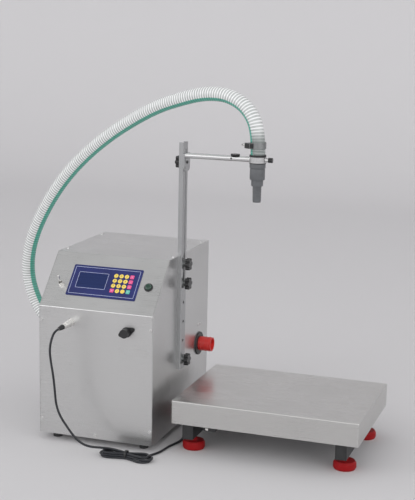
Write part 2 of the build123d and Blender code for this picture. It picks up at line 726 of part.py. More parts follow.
with BuildPart() as dust_cap:
    with BuildSketch(AUX.offset(AUX_PLATE + 0.3)):
        Circle(CAP_R)
        with PolarLocations(CAP_R + 0.3, 20):
            Circle(0.8, mode=Mode.SUBTRACT)
    extrude(amount=CAP_L - 0.3)
    fillet(dust_cap.faces().sort_by(Axis.Y)[0].edges(), radius=0.6)
    with BuildSketch(AUX.offset(AUX_PLATE + 0.3)):
        Circle(AUX_THREAD_R + RUN_GAP)
    extrude(amount=CAP_L - 6, mode=Mode.SUBTRACT)
save("dust_cap", dust_cap)

# ---------------------------------------------------------------- liquid ports
INLET = right_plane(RIGHT_X, PORT_LINE_Y, PORT_Z)
OUTLET = left_plane(LEFT_X, PORT_LINE_Y, PORT_Z)
PIPE_L = (CAB_W - PUMP_W) / 2  # a port's pipe runs in to the pump's side
with BuildPart() as inlet_port:
    with BuildSketch(INLET):
        Circle(PORT_FLANGE_R)
    extrude(amount=PORT_FLANGE_T)
    fillet(inlet_port.edges().group_by(Axis.X)[-1], radius=1.5)
    with BuildSketch(INLET.offset(-PIPE_L)):
        Circle(STUB_R)
    extrude(amount=PIPE_L + STUB_L)
    with BuildSketch(INLET.offset(-PIPE_L)):
        Circle(STUB_BORE_R)
    extrude(amount=PIPE_L + STUB_L, mode=Mode.SUBTRACT)
save("inlet_port", inlet_port)

RIB_COUNT = 3
RIB_R = 0.9
WEB_T = 3.0
with BuildPart() as inlet_cap:
    with BuildSketch(INLET.offset(PORT_FLANGE_T + 0.5)):
        Circle(INLET_CAP_R)
    extrude(amount=INLET_CAP_L)
    with Locations(*[INLET.offset(PORT_FLANGE_T + 8.0 + 11.0 * i) for i in range(RIB_COUNT)]):
        Torus(INLET_CAP_R, RIB_R)
    with BuildSketch(INLET.offset(PORT_FLANGE_T + 0.5)):
        Circle(STUB_R + RUN_GAP)
    extrude(amount=STUB_L - PORT_FLANGE_T, mode=Mode.SUBTRACT)
    with BuildSketch(INLET.offset(PORT_FLANGE_T + 0.5 + INLET_CAP_L)):
        Circle(STUB_R)
    extrude(amount=-(INLET_CAP_L - STUB_L + PORT_FLANGE_T - WEB_T), mode=Mode.SUBTRACT)
save("inlet_cap", inlet_cap)


def barb_profile(start, length, tip_first):
    """Outline of a hose barb as (distance, radius) points: three shallow saw teeth."""
    teeth = 3
    pitch = length / teeth
    high = HOSE_BORE_R - BARB_GAP
    low = high - 1.4
    points = []
    for i in range(teeth):
        near, far = (low, high) if tip_first else (high, low)
        points.append((start + i * pitch, near))
        points.append((start + (i + 1) * pitch, far))
    return points


with BuildPart() as outlet_port:
    with BuildSketch(OUTLET):
        Circle(PORT_FLANGE_R)
    extrude(amount=PORT_FLANGE_T)
    with BuildSketch(OUTLET):
        RegularPolygon(OUTLET_HEX / 2, 6, major_radius=False)
    extrude(amount=OUTLET_HEX_L)
    with BuildSketch(OUTLET.offset(-PIPE_L)):
        Circle(STUB_R)
    extrude(amount=PIPE_L + 1)
    with BuildSketch(Plane(origin=OUTLET.origin, x_dir=(-1, 0, 0), z_dir=(0, 1, 0))):
        with BuildLine():
            barb = barb_profile(OUTLET_HEX_L, OUTLET_REACH - OUTLET_HEX_L, False)
            Polyline((OUTLET_HEX_L, 0), *barb, (OUTLET_REACH, 0), close=True)
        make_face()
    revolve(axis=Axis(OUTLET.origin, (-1, 0, 0)))
    with BuildSketch(OUTLET.offset(-PIPE_L)):
        Circle(NOZZLE_BORE_R)
    extrude(amount=PIPE_L + OUTLET_REACH, mode=Mode.SUBTRACT)
save("outlet_port", outlet_port)


def hose_clamp(plane, screw_side):
    """Worm-drive clamp: a band around the hose with a screw housing on one side."""
    with BuildPart() as clamp:
        with BuildSketch(plane):
            Circle(HOSE_R + BARB_GAP + CLAMP_T)
            Circle(HOSE_R + BARB_GAP, mode=Mode.SUBTRACT)
        extrude(amount=CLAMP_W)
        housing_y = screw_side * (HOSE_R + BARB_GAP + CLAMP_T + 5.0)
        with BuildSketch(plane.offset(1.0)):
            with Locations((-4.0, housing_y)):
                Rectangle(22.0, 12.0)
        extrude(amount=CLAMP_W - 2.0)
        with BuildSketch(plane):
            Circle(HOSE_R + BARB_GAP)
        extrude(amount=CLAMP_W, mode=Mode.SUBTRACT)
        stem = Plane(
            origin=plane.offset(CLAMP_W / 2).from_local_coords((-15.0, housing_y, 0)),
            x_dir=plane.y_dir,
            z_dir=-plane.x_dir,
        )
        with BuildSketch(stem):
            Circle(2.6)
        extrude(amount=18.0)
    return clamp


save("outlet_hose_clamp", hose_clamp(OUTLET.offset(OUTLET_HEX_L + 10.0), -1))

# ---------------------------------------------------------------- pump set inside the cabinet
DRIVE = rear_plane(CAB_X, PORT_LINE_Y, DRIVE_Z)
IDLER = rear_plane(CAB_X, PORT_LINE_Y, IDLER_Z)
TIP_CIRCLE = GEAR_PITCH_R + GEAR_MODULE
ROOT_CIRCLE = GEAR_PITCH_R - 1.25 * GEAR_MODULE


def gear_outline(plane, turned):
    """Sketch of a spur gear with straight-flanked teeth and running backlash."""
    tooth = [(ROOT_CIRCLE - 1, 2.45), (GEAR_PITCH_R, 2.05), (TIP_CIRCLE - 0.2, 1.05)]
    flank = [(r, -w) for r, w in reversed(tooth)]
    with BuildSketch(plane) as outline:
        Circle(ROOT_CIRCLE)
        with PolarLocations(0, GEAR_TEETH, start_angle=90 + turned):
            Polygon(*tooth, *flank, align=None)
    return outline.sketch


GEAR_HALF_W = GEAR_W / 2 - GEAR_END_GAP
with BuildPart() as drive_rotor:
    extrude(gear_outline(DRIVE, 0), amount=GEAR_HALF_W, both=True)
    with BuildSketch(DRIVE.offset(-(PORT_LINE_Y - MOTOR_FRONT_Y) - 14)):
        Circle(SHAFT_R)
    extrude(amount=PORT_LINE_Y - MOTOR_FRONT_Y + 14 + GEAR_W / 2 + IDLER_SHAFT_END)
    with BuildSketch(DRIVE.offset(-(PORT_LINE_Y - MOTOR_FRONT_Y) + 9)):
        Circle(COUPLING_R)
    extrude(amount=COUPLING_L)
save("drive_rotor", drive_rotor)

with BuildPart() as driven_gear:
    extrude(gear_outline(IDLER, 180 / GEAR_TEETH), amount=GEAR_HALF_W, both=True)
    with BuildSketch(IDLER.offset(-GEAR_W / 2 - IDLER_SHAFT_END)):
        Circle(IDLER_SHAFT_R)
    extrude(amount=GEAR_W + 2 * IDLER_SHAFT_END)
save("driven_gear", driven_gear)

END_PLAY = 0.3
with BuildPart() as pump_housing:
    with BuildSketch(rear_plane(CAB_X, PUMP_FRONT_Y, PORT_Z)):
        RectangleRounded(PUMP_W, PUMP_H, 14)
    extrude(amount=GEAR_W + 2 * PUMP_WALL)
    with BuildSketch(rear_plane(CAB_X, PORT_LINE_Y - GEAR_W / 2, PORT_Z)):
        with Locations((0, GEAR_PITCH_R), (0, -GEAR_PITCH_R)):
            Circle(TIP_CIRCLE + RUN_GAP)
    extrude(amount=GEAR_W, mode=Mode.SUBTRACT)
    with BuildSketch(right_plane(CAB_X - PUMP_W / 2, PORT_LINE_Y, PORT_Z)):
        Circle(NOZZLE_BORE_R)
    extrude(amount=PUMP_W, mode=Mode.SUBTRACT)
    with BuildSketch(DRIVE.offset(-GEAR_W / 2 - PUMP_WALL)):
        Circle(SHAFT_R + RUN_GAP)
    extrude(amount=PUMP_WALL + GEAR_W + IDLER_SHAFT_END + END_PLAY, mode=Mode.SUBTRACT)
    with BuildSketch(IDLER.offset(-GEAR_W / 2 - IDLER_SHAFT_END - END_PLAY)):
        Circle(IDLER_SHAFT_R + RUN_GAP)
    extrude(amount=GEAR_W + 2 * (IDLER_SHAFT_END + END_PLAY), mode=Mode.SUBTRACT)
save("pump_housing", pump_housing)

MOTOR = rear_plane(CAB_X, MOTOR_FRONT_Y, DRIVE_Z)
with BuildPart() as pump_motor:
    with BuildSketch(MOTOR.offset(-MOTOR_L)):
        Circle(MOTOR_R)
    extrude(amount=MOTOR_L)
    fillet(pump_motor.edges().filter_by(GeomType.CIRCLE), radius=4)
    with BuildSketch(MOTOR.offset(-5)):
        Circle(LANTERN_R)
    extrude(amount=LANTERN_L + 5)
    with BuildSketch(MOTOR):
        Circle(LANTERN_R - LANTERN_WALL)
    extrude(amount=LANTERN_L, mode=Mode.SUBTRACT)
    with BuildSketch(MOTOR.offset(-16)):
        Circle(SHAFT_R + RUN_GAP)
    extrude(amount=20, mode=Mode.SUBTRACT)
    with BuildSketch(Plane(origin=(CAB_X, MOTOR_FRONT_Y - MOTOR_L / 2, DRIVE_Z + MOTOR_R - 4))):
        Rectangle(60, 70)
    extrude(amount=24)
save("pump_motor", pump_motor)

CRADLE_BASE = BASE_Z + SHEET
with BuildPart() as motor_bracket:
    with BuildSketch(Plane.XY.offset(CRADLE_BASE)):
        with Locations((CAB_X, MOTOR_FRONT_Y - MOTOR_L / 2)):
            Rectangle(2 * MOTOR_R, MOTOR_L - 40)
    extrude(amount=CRADLE_T)
    for place in (-MOTOR_L + 30, -30):
        with BuildSketch(rear_plane(CAB_X, MOTOR_FRONT_Y + place, CRADLE_BASE)):
            with Locations((0, (DRIVE_Z - CRADLE_BASE) / 2)):
                Rectangle(2 * MOTOR_R, DRIVE_Z - CRADLE_BASE)
            with Locations((0, DRIVE_Z - CRADLE_BASE)):
                Circle(MOTOR_R + HOLE_GAP, mode=Mode.SUBTRACT)
        extrude(amount=CRADLE_T)
save("motor_bracket", motor_bracket)


with BuildPart() as mains_inlet:
    with BuildSketch(REAR_FACE):
        with Locations((POWER_X, BASE_Z + POWER_Z)):
            RectangleRounded(INLET_W + 2 * INLET_RIM, INLET_H + 2 * INLET_RIM, 3)
    extrude(amount=INLET_PROUD)
    with BuildSketch(REAR_FACE):
        with Locations((POWER_X, BASE_Z + POWER_Z)):
            Rectangle(INLET_W, INLET_H)
    extrude(amount=-INLET_DEPTH)
    with BuildSketch(REAR_FACE.offset(INLET_PROUD)):
        with Locations((POWER_X, BASE_Z + POWER_Z)):
            RectangleRounded(INLET_W - 3, INLET_H - 3, 3)
            with Locations((-7, 0), (0, 4), (7, 0)):
                Rectangle(2, 5, mode=Mode.SUBTRACT)
    extrude(amount=-INLET_DEPTH + 3, mode=Mode.SUBTRACT)
save("mains_inlet", mains_inlet)

# ---------------------------------------------------------------- mast
WEB = right_plane(WEB_X, MOUNT_Y, 0)
MAST_MID_Z = MAST_BOTTOM + MAST_L / 2
LOW_HOLES = [BOTTOM_KNOB_Z + i * HOLE_PITCH for i in range(KNOB_PITCHES - 1)]
with BuildPart() as mast:
    with BuildSketch(right_plane(RIGHT_X, MOUNT_Y, MAST_MID_Z)):
        Rectangle(MAST_W, MAST_L)
    extrude(amount=MAST_DEPTH)
    fillet(mast.edges().filter_by(Axis.Z).group_by(Axis.X)[-1], radius=MAST_T)
    with BuildSketch(right_plane(RIGHT_X, MOUNT_Y, MAST_MID_Z)):
        Rectangle(MAST_W - 2 * MAST_T, MAST_L)
    extrude(amount=MAST_DEPTH - MAST_T, mode=Mode.SUBTRACT)
    with BuildSketch(WEB):
        with Locations((0, (SLOT_BOTTOM + SLOT_TOP) / 2)):
            SlotOverall(SLOT_TOP - SLOT_BOTTOM, SLOT_W, rotation=90)
        with Locations(*[(0, z) for z in LOW_HOLES]):
            Circle(STUD_R + HOLE_GAP)
    extrude(amount=-2 * MAST_T, mode=Mode.SUBTRACT)
save("mast", mast)

with BuildPart() as mast_washers:
    for height in KNOB_HEIGHTS.values():
        for start, radius, thickness in (
            (0.0, KNOB_WASHER_R, KNOB_WASHER_T),
            (KNOB_WASHER_T, KNOB_SPACER_R, KNOB_SPACER_T),
        ):
            with BuildSketch(WEB.offset(start)):
                with Locations((0, height)):
                    Circle(radius)
                    Circle(STUD_R + HOLE_GAP, mode=Mode.SUBTRACT)
            extrude(amount=thickness)
save("mast_washers", mast_washers)


def star_knob(plane, stud):
    """Star knob whose hub starts on the plane, with a threaded stud that runs back from it."""
    lobe_r = 0.3 * KNOB_R
    with BuildPart() as knob:
        with BuildSketch(plane):
            Circle(KNOB_R - lobe_r)
            with PolarLocations(KNOB_R - lobe_r, KNOB_LOBES):
                Circle(lobe_r)
        extrude(amount=KNOB_T)
        outer = knob.faces().sort_by(Axis(plane.origin, plane.z_dir))[-1]
        fillet(outer.edges(), radius=1.5)
        with BuildSketch(plane):
            Circle(STUD_R)
        extrude(amount=-stud)
    return knob


KNOB_START = KNOB_WASHER_T + KNOB_SPACER_T
STUD_INSIDE = 8.0  # stud beyond the side panel
for knob_name, knob_height in KNOB_HEIGHTS.items():
    knob_plane = right_plane(WEB_X + KNOB_START, MOUNT_Y, knob_height)
    save(knob_name, star_knob(knob_plane, KNOB_START + MAST_DEPTH + SHEET + STUD_INSIDE))

# ---------------------------------------------------------------- arm and nozzle
SLIDE_GAP = 0.3
PLATE_X = WEB_X + SLIDE_GAP
PLATE_OUT = PLATE_X + BRACKET_T
LUG_W = SLOT_W - 2 * SLIDE_GAP
PLATE_SCREW_TOP = ARM_Z - BRACKET_Z - ARM_R - PLATE_SCREW_R - 1.0
PLATE_SCREW_UPS = (PLATE_SCREW_TOP, PLATE_SCREW_TOP - PLATE_SCREW_PITCH)
with BuildPart() as arm_bracket:
    with BuildSketch(right_plane(PLATE_X, MOUNT_Y, BRACKET_Z)) as plate_sketch:
        Rectangle(BRACKET_W, BRACKET_H)
        fillet(plate_sketch.vertices().group_by(Axis.Y)[0], radius=12)
        fillet(plate_sketch.vertices().group_by(Axis.Y)[-1], radius=2)
    extrude(amount=BRACKET_T)
    with BuildSketch(right_plane(PLATE_X, MOUNT_Y, BRACKET_Z)):
        RectangleRounded(LUG_W, LUG_H, 2)
    extrude(amount=-SLIDE_GAP - MAST_T)
    with BuildSketch(right_plane(PLATE_OUT, MOUNT_Y, BRACKET_Z)):
        Circle(STUD_R + RUN_GAP)
    extrude(amount=-BRACKET_T - SLIDE_GAP - MAST_T, mode=Mode.SUBTRACT)
    with BuildSketch(right_plane(PLATE_OUT, MOUNT_Y, BRACKET_Z)):
        with Locations(*[(ARM_Y_OFFSET, up) for up in PLATE_SCREW_UPS]):
            Circle(PLATE_SCREW_R)
    extrude(amount=PLATE_SCREW_H)
save("arm_bracket", arm_bracket)

ARM_KNOB_X = RIGHT_X - 0.5
arm_star = star_knob(left_plane(ARM_KNOB_X, MOUNT_Y, BRACKET_Z), SHEET)
with BuildPart() as arm_knob:
    add(arm_star.part)
    with BuildSketch(right_plane(ARM_KNOB_X - 1, MOUNT_Y, BRACKET_Z)):
        Circle(KNOB_SPACER_R)
    extrude(amount=WEB_X - MAST_T - SLIDE_GAP - ARM_KNOB_X + 1)
    with BuildSketch(right_plane(ARM_KNOB_X, MOUNT_Y, BRACKET_Z)):
        Circle(STUD_R)
    extrude(amount=PLATE_OUT - ARM_KNOB_X + 2.0)
save("arm_knob", arm_knob)

RING_BORE_R = NECK_R + 0.2
RING_H = 2 * ARM_R
NOZZLE = Plane(origin=(NOZZLE_X, ARM_Y, ARM_Z), x_dir=(1, 0, 0), z_dir=(0, 0, 1))
SCREW_BOSS = 6.0
with BuildPart() as arm_tube:
    with BuildSketch(right_plane(PLATE_OUT, ARM_Y, ARM_Z)):
        Circle(ARM_R)
    extrude(amount=NOZZLE_X - PLATE_OUT)
    with BuildSketch(NOZZLE.offset(-RING_H / 2)):
        Circle(RING_BORE_R + RING_WALL)
    extrude(amount=RING_H)
    with BuildSketch(right_plane(NOZZLE_X, ARM_Y, ARM_Z)):
        Circle(NOZZLE_SCREW_R)
    extrude(amount=RING_BORE_R + RING_WALL + SCREW_BOSS)
    with BuildSketch(NOZZLE.offset(-RING_H / 2)):
        Circle(RING_BORE_R)
    extrude(amount=RING_H, mode=Mode.SUBTRACT)
    with BuildSketch(right_plane(PLATE_OUT, ARM_Y, ARM_Z)):
        Circle(ARM_BORE_R)
    extrude(amount=NOZZLE_REACH - MAST_DEPTH - RING_BORE_R - RING_WALL - 12, mode=Mode.SUBTRACT)
    with BuildSketch(right_plane(NOZZLE_X + RING_BORE_R, ARM_Y, ARM_Z)):
        Circle(2.5 + RUN_GAP)
    extrude(amount=RING_WALL + SCREW_BOSS + 5, both=True, mode=Mode.SUBTRACT)
    end_screw_seat = Plane.XY.offset(ARM_Z)
    with BuildSketch(end_screw_seat):
        with Locations((RIGHT_X + END_SCREW_X, ARM_Y)):
            Circle(3.0 + RUN_GAP)
    extrude(amount=ARM_R + 1, mode=Mode.SUBTRACT)
    with BuildSketch(front_plane(RIGHT_X + END_SCREW_X - 9, ARM_Y, ARM_Z)):
        Circle(2.5)
    extrude(amount=2 * ARM_R, both=True, mode=Mode.SUBTRACT)
save("arm_tube", arm_tube)

with BuildPart() as arm_end_screw:
    with BuildSketch(Plane.XY.offset(ARM_Z + ARM_R + 0.2)):
        with Locations((RIGHT_X + END_SCREW_X, ARM_Y)):
            Circle(END_SCREW_R)
            with PolarLocations(END_SCREW_R + 0.2, 24):
                Circle(0.6, mode=Mode.SUBTRACT)
    extrude(amount=END_SCREW_T)
    with BuildSketch(Plane.XY.offset(ARM_Z + 1)):
        with Locations((RIGHT_X + END_SCREW_X, ARM_Y)):
            Circle(3.0)
    extrude(amount=ARM_R + 1)
save("arm_end_screw", arm_end_screw)

with BuildPart() as nozzle_screw:
    screw_seat = right_plane(NOZZLE_X + RING_BORE_R + RING_WALL + SCREW_BOSS + 0.3, ARM_Y, ARM_Z)
    with BuildSketch(screw_seat):
        Circle(NOZZLE_SCREW_R + 1)
        with PolarLocations(NOZZLE_SCREW_R + 1.2, 16):
            Circle(0.7, mode=Mode.SUBTRACT)
    extrude(amount=11)
    with BuildSketch(screw_seat):
        Circle(2.5)
    extrude(amount=-SCREW_BOSS - RING_WALL - 0.3)
save("nozzle_screw", nozzle_screw)

SPIGOT_R = 14.0
SPIGOT_L = 10.0
HOSE_START = ARM_Z + ARM_R + NECK_FLANGE_T + 1.0
with BuildPart() as hose_fitting:
    with BuildSketch(NOZZLE.offset(ARM_R)):
        Circle(NECK_R + RING_WALL - 0.5)
    extrude(amount=NECK_FLANGE_T)
    with BuildSketch(NOZZLE.offset(ARM_R - SPIGOT_L)):
        Circle(SPIGOT_R)
    extrude(amount=SPIGOT_L)
    with BuildSketch(Plane(origin=NOZZLE.origin, x_dir=(0, 0, 1), z_dir=(0, -1, 0))):
        with BuildLine():
            low = ARM_R + NECK_FLANGE_T
            Polyline((low, 0), *barb_profile(low, BARB_L, False), (low + BARB_L, 0), close=True)
        make_face()
    revolve(axis=Axis(NOZZLE.origin, (0, 0, 1)))
    with BuildSketch(NOZZLE.offset(ARM_R - SPIGOT_L)):
        Circle(NOZZLE_BORE_R)
    extrude(amount=SPIGOT_L + NECK_FLANGE_T + BARB_L, mode=Mode.SUBTRACT)
save("hose_fitting", hose_fitting)

STEP_TOP = -ARM_R - COLLAR_H - BODY_H
TIP_TOP = STEP_TOP - STEP_H
TIP_SPIGOT_L = 12.0
with BuildPart() as nozzle_body:
    for top, radius, height in (
        (ARM_R, NECK_R, RING_H),
        (-ARM_R, COLLAR_R, COLLAR_H),
        (-ARM_R - COLLAR_H, BODY_R, BODY_H),
        (STEP_TOP, STEP_R, STEP_H),
    ):
        with BuildSketch(NOZZLE.offset(top)):
            Circle(radius)
        extrude(amount=-height)
    rounds = nozzle_body.edges().filter_by(GeomType.CIRCLE)
    fillet([edge for edge in rounds if abs(edge.radius - COLLAR_R) < RUN_GAP], radius=1.5)
    with BuildSketch(NOZZLE.offset(ARM_R)):
        Circle(NOZZLE_BORE_R)
    extrude(amount=TIP_TOP - ARM_R, mode=Mode.SUBTRACT)
    with BuildSketch(NOZZLE.offset(ARM_R)):
        Circle(SPIGOT_R + RUN_GAP)
    extrude(amount=-SPIGOT_L, mode=Mode.SUBTRACT)
save("nozzle_body", nozzle_body)

TIP_RIBS = 6
TIP_GROOVE = 0.8
TIP_TAPER = 0.9
with BuildPart() as nozzle_tip:
    with BuildSketch(Plane(origin=NOZZLE.origin, x_dir=(0, 0, -1), z_dir=(0, 1, 0))):
        with BuildLine():
            pitch = TIP_L / TIP_RIBS
            outline = []
            for rib in range(TIP_RIBS):
                near = -TIP_TOP + rib * pitch
                radius = TIP_R - TIP_TAPER * rib / TIP_RIBS
                outline += [
                    (near, radius),
                    (near + 0.6 * pitch, radius),
                    (near + 0.7 * pitch, radius - TIP_GROOVE),
                    (near + 0.9 * pitch, radius - TIP_GROOVE),
                ]
            end = -TIP_TOP + TIP_L
            Polyline((-TIP_TOP, 0), *outline, (end, TIP_R - TIP_TAPER), (end, 0), close=True)
        make_face()
    revolve(axis=Axis(NOZZLE.origin, (0, 0, -1)))
    with BuildSketch(NOZZLE.offset(TIP_TOP)):
        Circle(NOZZLE_BORE_R - RUN_GAP)
    extrude(amount=TIP_SPIGOT_L)
    with BuildSketch(NOZZLE.offset(TIP_TOP + TIP_SPIGOT_L)):
        Circle(TIP_BORE_R)
    extrude(amount=-TIP_L - TIP_SPIGOT_L, mode=Mode.SUBTRACT)
save("nozzle_tip", nozzle_tip)

CLAMP_TURN = -38.0
save(
    "nozzle_hose_clamp",
    hose_clamp(
        Plane(origin=(NOZZLE_X, ARM_Y, HOSE_START + CLAMP_RISE)).rotated((0, 0, CLAMP_TURN)), -1
    ),
)

# ---------------------------------------------------------------- weighing platform
with BuildPart() as scale_pan:
    with BuildSketch(Plane.XY.offset(PAN_BOTTOM)):
        with Locations((PAN_X, PAN_Y)):
            RectangleRounded(PAN_W, PAN_D, PAN_EDGE_R)
    extrude(amount=PAN_H)
    fillet(scale_pan.edges().group_by(Axis.Z)[-1], radius=PAN_EDGE_R - SHEET)
    with BuildSketch(Plane.XY.offset(PAN_BOTTOM)):
        with Locations((PAN_X, PAN_Y)):
            RectangleRounded(PAN_W - 2 * SHEET, PAN_D - 2 * SHEET, PAN_EDGE_R - SHEET)
    extrude(amount=PAN_H - SHEET, mode=Mode.SUBTRACT)
save("scale_pan", scale_pan)

SPIDER_TOP = PAN_TOP - SHEET - PAD_T
CELL_TOP = SPIDER_TOP - SPIDER_H - CELL_GAP
CELL_BOTTOM = CELL_TOP - CELL_H
SEAT_X = CELL_L / 2 - CELL_SEAT / 2
with BuildPart() as scale_spider:
    with BuildSketch(Plane.XY.offset(SPIDER_TOP - SPIDER_H)):
        with Locations((PAN_X, PAN_Y)):
            Rectangle(SPIDER_ARM_W, SPIDER_D)
            with Locations((0, SPIDER_D / 2 - SPIDER_ARM_W / 2), (0, SPIDER_ARM_W / 2 - SPIDER_D / 2)):
                Rectangle(SPIDER_L, SPIDER_ARM_W)
            Rectangle(CELL_L, CELL_W)
    extrude(amount=SPIDER_H)
    with BuildSketch(Plane.XY.offset(CELL_TOP)):
        with Locations((PAN_X + SEAT_X, PAN_Y)):
            Rectangle(CELL_SEAT, CELL_W)
    extrude(amount=CELL_GAP)
    with BuildSketch(Plane.XY.offset(SPIDER_TOP)):
        with Locations((PAN_X, PAN_Y)):
            with GridLocations(SPIDER_L - SPIDER_ARM_W, SPIDER_D - SPIDER_ARM_W, 2, 2):
                Circle(PAD_R)
    extrude(amount=PAD_T)
save("scale_spider", scale_spider)

with BuildPart() as load_cell:
    with BuildSketch(front_plane(PAN_X, PAN_Y, (CELL_TOP + CELL_BOTTOM) / 2)):
        Rectangle(CELL_L, CELL_H)
        with Locations((-CELL_HOLE_R, 0), (CELL_HOLE_R, 0)):
            Circle(CELL_HOLE_R, mode=Mode.SUBTRACT)
        Rectangle(2 * CELL_HOLE_R, CELL_HOLE_R, mode=Mode.SUBTRACT)
    extrude(amount=CELL_W / 2, both=True)
save("load_cell", load_cell)

TUBE_L = PAN_D - 2 * TUBE_SETBACK - 2 * CAP_T
BEAM_SPAN = TUBE_X[1] - TUBE_X[0] - TUBE_W + TUBE_WALL  # welded into the tubes' walls
TUBE_ENDS = (PAN_Y - TUBE_L / 2, PAN_Y + TUBE_L / 2)
with BuildPart() as scale_base:
    for tube_x in TUBE_X:
        with BuildSketch(rear_plane(tube_x, PAN_Y, TUBE_Z)):
            RectangleRounded(TUBE_W, TUBE_H, TUBE_WALL)
            Rectangle(TUBE_W - 2 * TUBE_WALL, TUBE_H - 2 * TUBE_WALL, mode=Mode.SUBTRACT)
        extrude(amount=TUBE_L / 2, both=True)
    with BuildSketch(Plane.XY.offset(TUBE_TOP)):
        with Locations((PAN_X, PAN_Y)):
            Rectangle(BEAM_SPAN, BEAM_W)
    extrude(amount=-BEAM_H)
    with BuildSketch(right_plane(PAN_X - BEAM_SPAN / 2, PAN_Y, TUBE_TOP - BEAM_H / 2)):
        Rectangle(BEAM_W - 2 * TUBE_WALL, BEAM_H - 2 * TUBE_WALL)
    extrude(amount=BEAM_SPAN, mode=Mode.SUBTRACT)
    with BuildSketch(Plane.XY.offset(TUBE_TOP)):
        with Locations((PAN_X - SEAT_X, PAN_Y)):
            Rectangle(CELL_SEAT, CELL_W)
    extrude(amount=CELL_BOTTOM - TUBE_TOP)
    with BuildSketch(Plane.XY.offset(TUBE_TOP - TUBE_H)):
        with Locations(*[(x, y) for x in TUBE_X for y in FEET_Y]):
            Circle(LEVEL_STUD_R + RUN_GAP)
    extrude(amount=TUBE_WALL, mode=Mode.SUBTRACT)
    with BuildSketch(left_plane(TUBE_X[0] - TUBE_W / 2, FRONT_Y + GLAND_Y, GLAND_Z)):
        Circle(CABLE_R + 3.0)
    extrude(amount=-TUBE_WALL, mode=Mode.SUBTRACT)
save("scale_base", scale_base)

with BuildPart() as tube_end_caps:
    for tube_x in TUBE_X:
        for tube_end, outward in zip(TUBE_ENDS, (-1, 1)):
            with BuildSketch(rear_plane(tube_x, tube_end, TUBE_Z)):
                RectangleRounded(TUBE_W, TUBE_H, TUBE_WALL)
            extrude(amount=outward * CAP_T)
            with BuildSketch(rear_plane(tube_x, tube_end, TUBE_Z)):
                Rectangle(TUBE_W - 2 * TUBE_WALL - 0.4, TUBE_H - 2 * TUBE_WALL - 0.4)
            extrude(amount=-outward * CAP_PLUG)
save("tube_end_caps", tube_end_caps)


def level_foot(x, y):
    """Levelling foot: a waisted disc on a threaded stud that turns in the tube's floor."""
    with BuildPart() as foot:
        with BuildSketch(Plane(origin=(x, y, 0), x_dir=(1, 0, 0), z_dir=(0, -1, 0))):
            with BuildLine():
                Polyline(
                    (0, 0),
                    (LEVEL_FOOT_R - 2.5, 0),
                    (LEVEL_FOOT_R, 5.0),
                    (LEVEL_FOOT_R, LEVEL_FOOT_H - 6.0),
                    (LEVEL_FOOT_R - 4.0, LEVEL_FOOT_H),
                    (LEVEL_STUD_R, LEVEL_FOOT_H),
                    (LEVEL_STUD_R, LEVEL_FOOT_H + LEVEL_STUD_UP),
                    (0, LEVEL_FOOT_H + LEVEL_STUD_UP),
                    close=True,
                )
            make_face()
        revolve(axis=Axis((x, y, 0), (0, 0, 1)))
        with BuildSketch(Plane.XY.offset(LEVEL_FOOT_H)):
            with Locations((x, y)):
                RegularPolygon(LEVEL_NUT_R, 6)
        extrude(amount=LEVEL_NUT_H)
    return foot


for side_name, foot_x in zip(("left", "right"), TUBE_X):
    for end_name, foot_y in zip(("front", "rear"), FEET_Y):
        save(f"scale_foot_{end_name}_{side_name}", level_foot(foot_x, foot_y))

GLAND = left_plane(TUBE_X[0] - TUBE_W / 2, FRONT_Y + GLAND_Y, GLAND_Z)
with BuildPart() as cable_gland:
    with BuildSketch(GLAND):
        RegularPolygon(8.5, 6)
    extrude(amount=6)
    with BuildSketch(GLAND.offset(6)):
        Circle(7.5)
    extrude(amount=GLAND_L - 6)
    fillet(cable_gland.edges().sort_by(Axis.X)[0], radius=3)
    with BuildSketch(GLAND):
        Circle(CABLE_R + 2.8)
    extrude(amount=-TUBE_WALL - 6)
    with BuildSketch(GLAND.offset(GLAND_L)):
        Circle(CABLE_R + RUN_GAP)
    extrude(amount=-GLAND_L - TUBE_WALL - 6, mode=Mode.SUBTRACT)
save("cable_gland", cable_gland)


# ---------------------------------------------------------------- hose and cables
def place(x, y, z):
    """A point given from the cabinet's middle, its front face and the floor."""
    return Vector(CAB_X + x, FRONT_Y + y, z)


def route(name, points, diameter):
    """Straight runs joined by tangent arcs, each as large as its two runs allow."""
    radii = []
    for before, corner, after in zip(points, points[1:], points[2:]):
        first = corner - before
        second = after - corner
        half_turn = math.radians(first.get_angle(second)) / 2
        radii.append(RADIUS_SHARE * min(first.length, second.length) / math.tan(half_turn))
    path = FilletPolyline(*points, radius=radii, mode=Mode.PRIVATE)
    runs = [(b - a).length for a, b in zip(points, points[1:])]
    print(name, "length", round(path.length, 1), "diameter", diameter)
    print("  runs", [round(run, 1) for run in runs])
    print("  radii", [round(radius, 1) for radius in radii])
    return path


def tube(name, points, outer, inner):
    """A cord's tube: its section swept along its route, with the volume compared."""
    path = route(name, points, 2 * outer)
    with BuildPart() as cord:
        with BuildLine():
            add(path)
        with BuildSketch(Plane(origin=path @ 0, z_dir=path % 0)):
            Circle(outer)
            if inner:
                Circle(inner, mode=Mode.SUBTRACT)
        sweep()
    section = math.pi * (outer**2 - inner**2)
    print("  volume over section times length", round(cord.part.volume / (section * path.length), 4))
    return cord


HOSE_POINTS = [
    Vector(NOZZLE_X, ARM_Y, HOSE_START),
    Vector(NOZZLE_X, ARM_Y, HOSE_START + 62),
    place(347, 190, 897),
    place(291, 207, 928),
    place(226, 227, 931),
    place(157, 247, 917),
    place(37.5, 283, 878),
    place(-139.5, 336, 774),
    place(-282, 379, 645),
    place(-386, 410, 483),
    place(-412, 418, 362),
    place(-374, 406, 262),
    place(-315, 385, 214),
    Vector(LEFT_X - OUTLET_HEX_L - 67, PORT_LINE_Y, PORT_Z),
    Vector(LEFT_X - OUTLET_HEX_L, PORT_LINE_Y, PORT_Z),
]
save("hose", tube("hose", HOSE_POINTS, HOSE_R, HOSE_BORE_R))

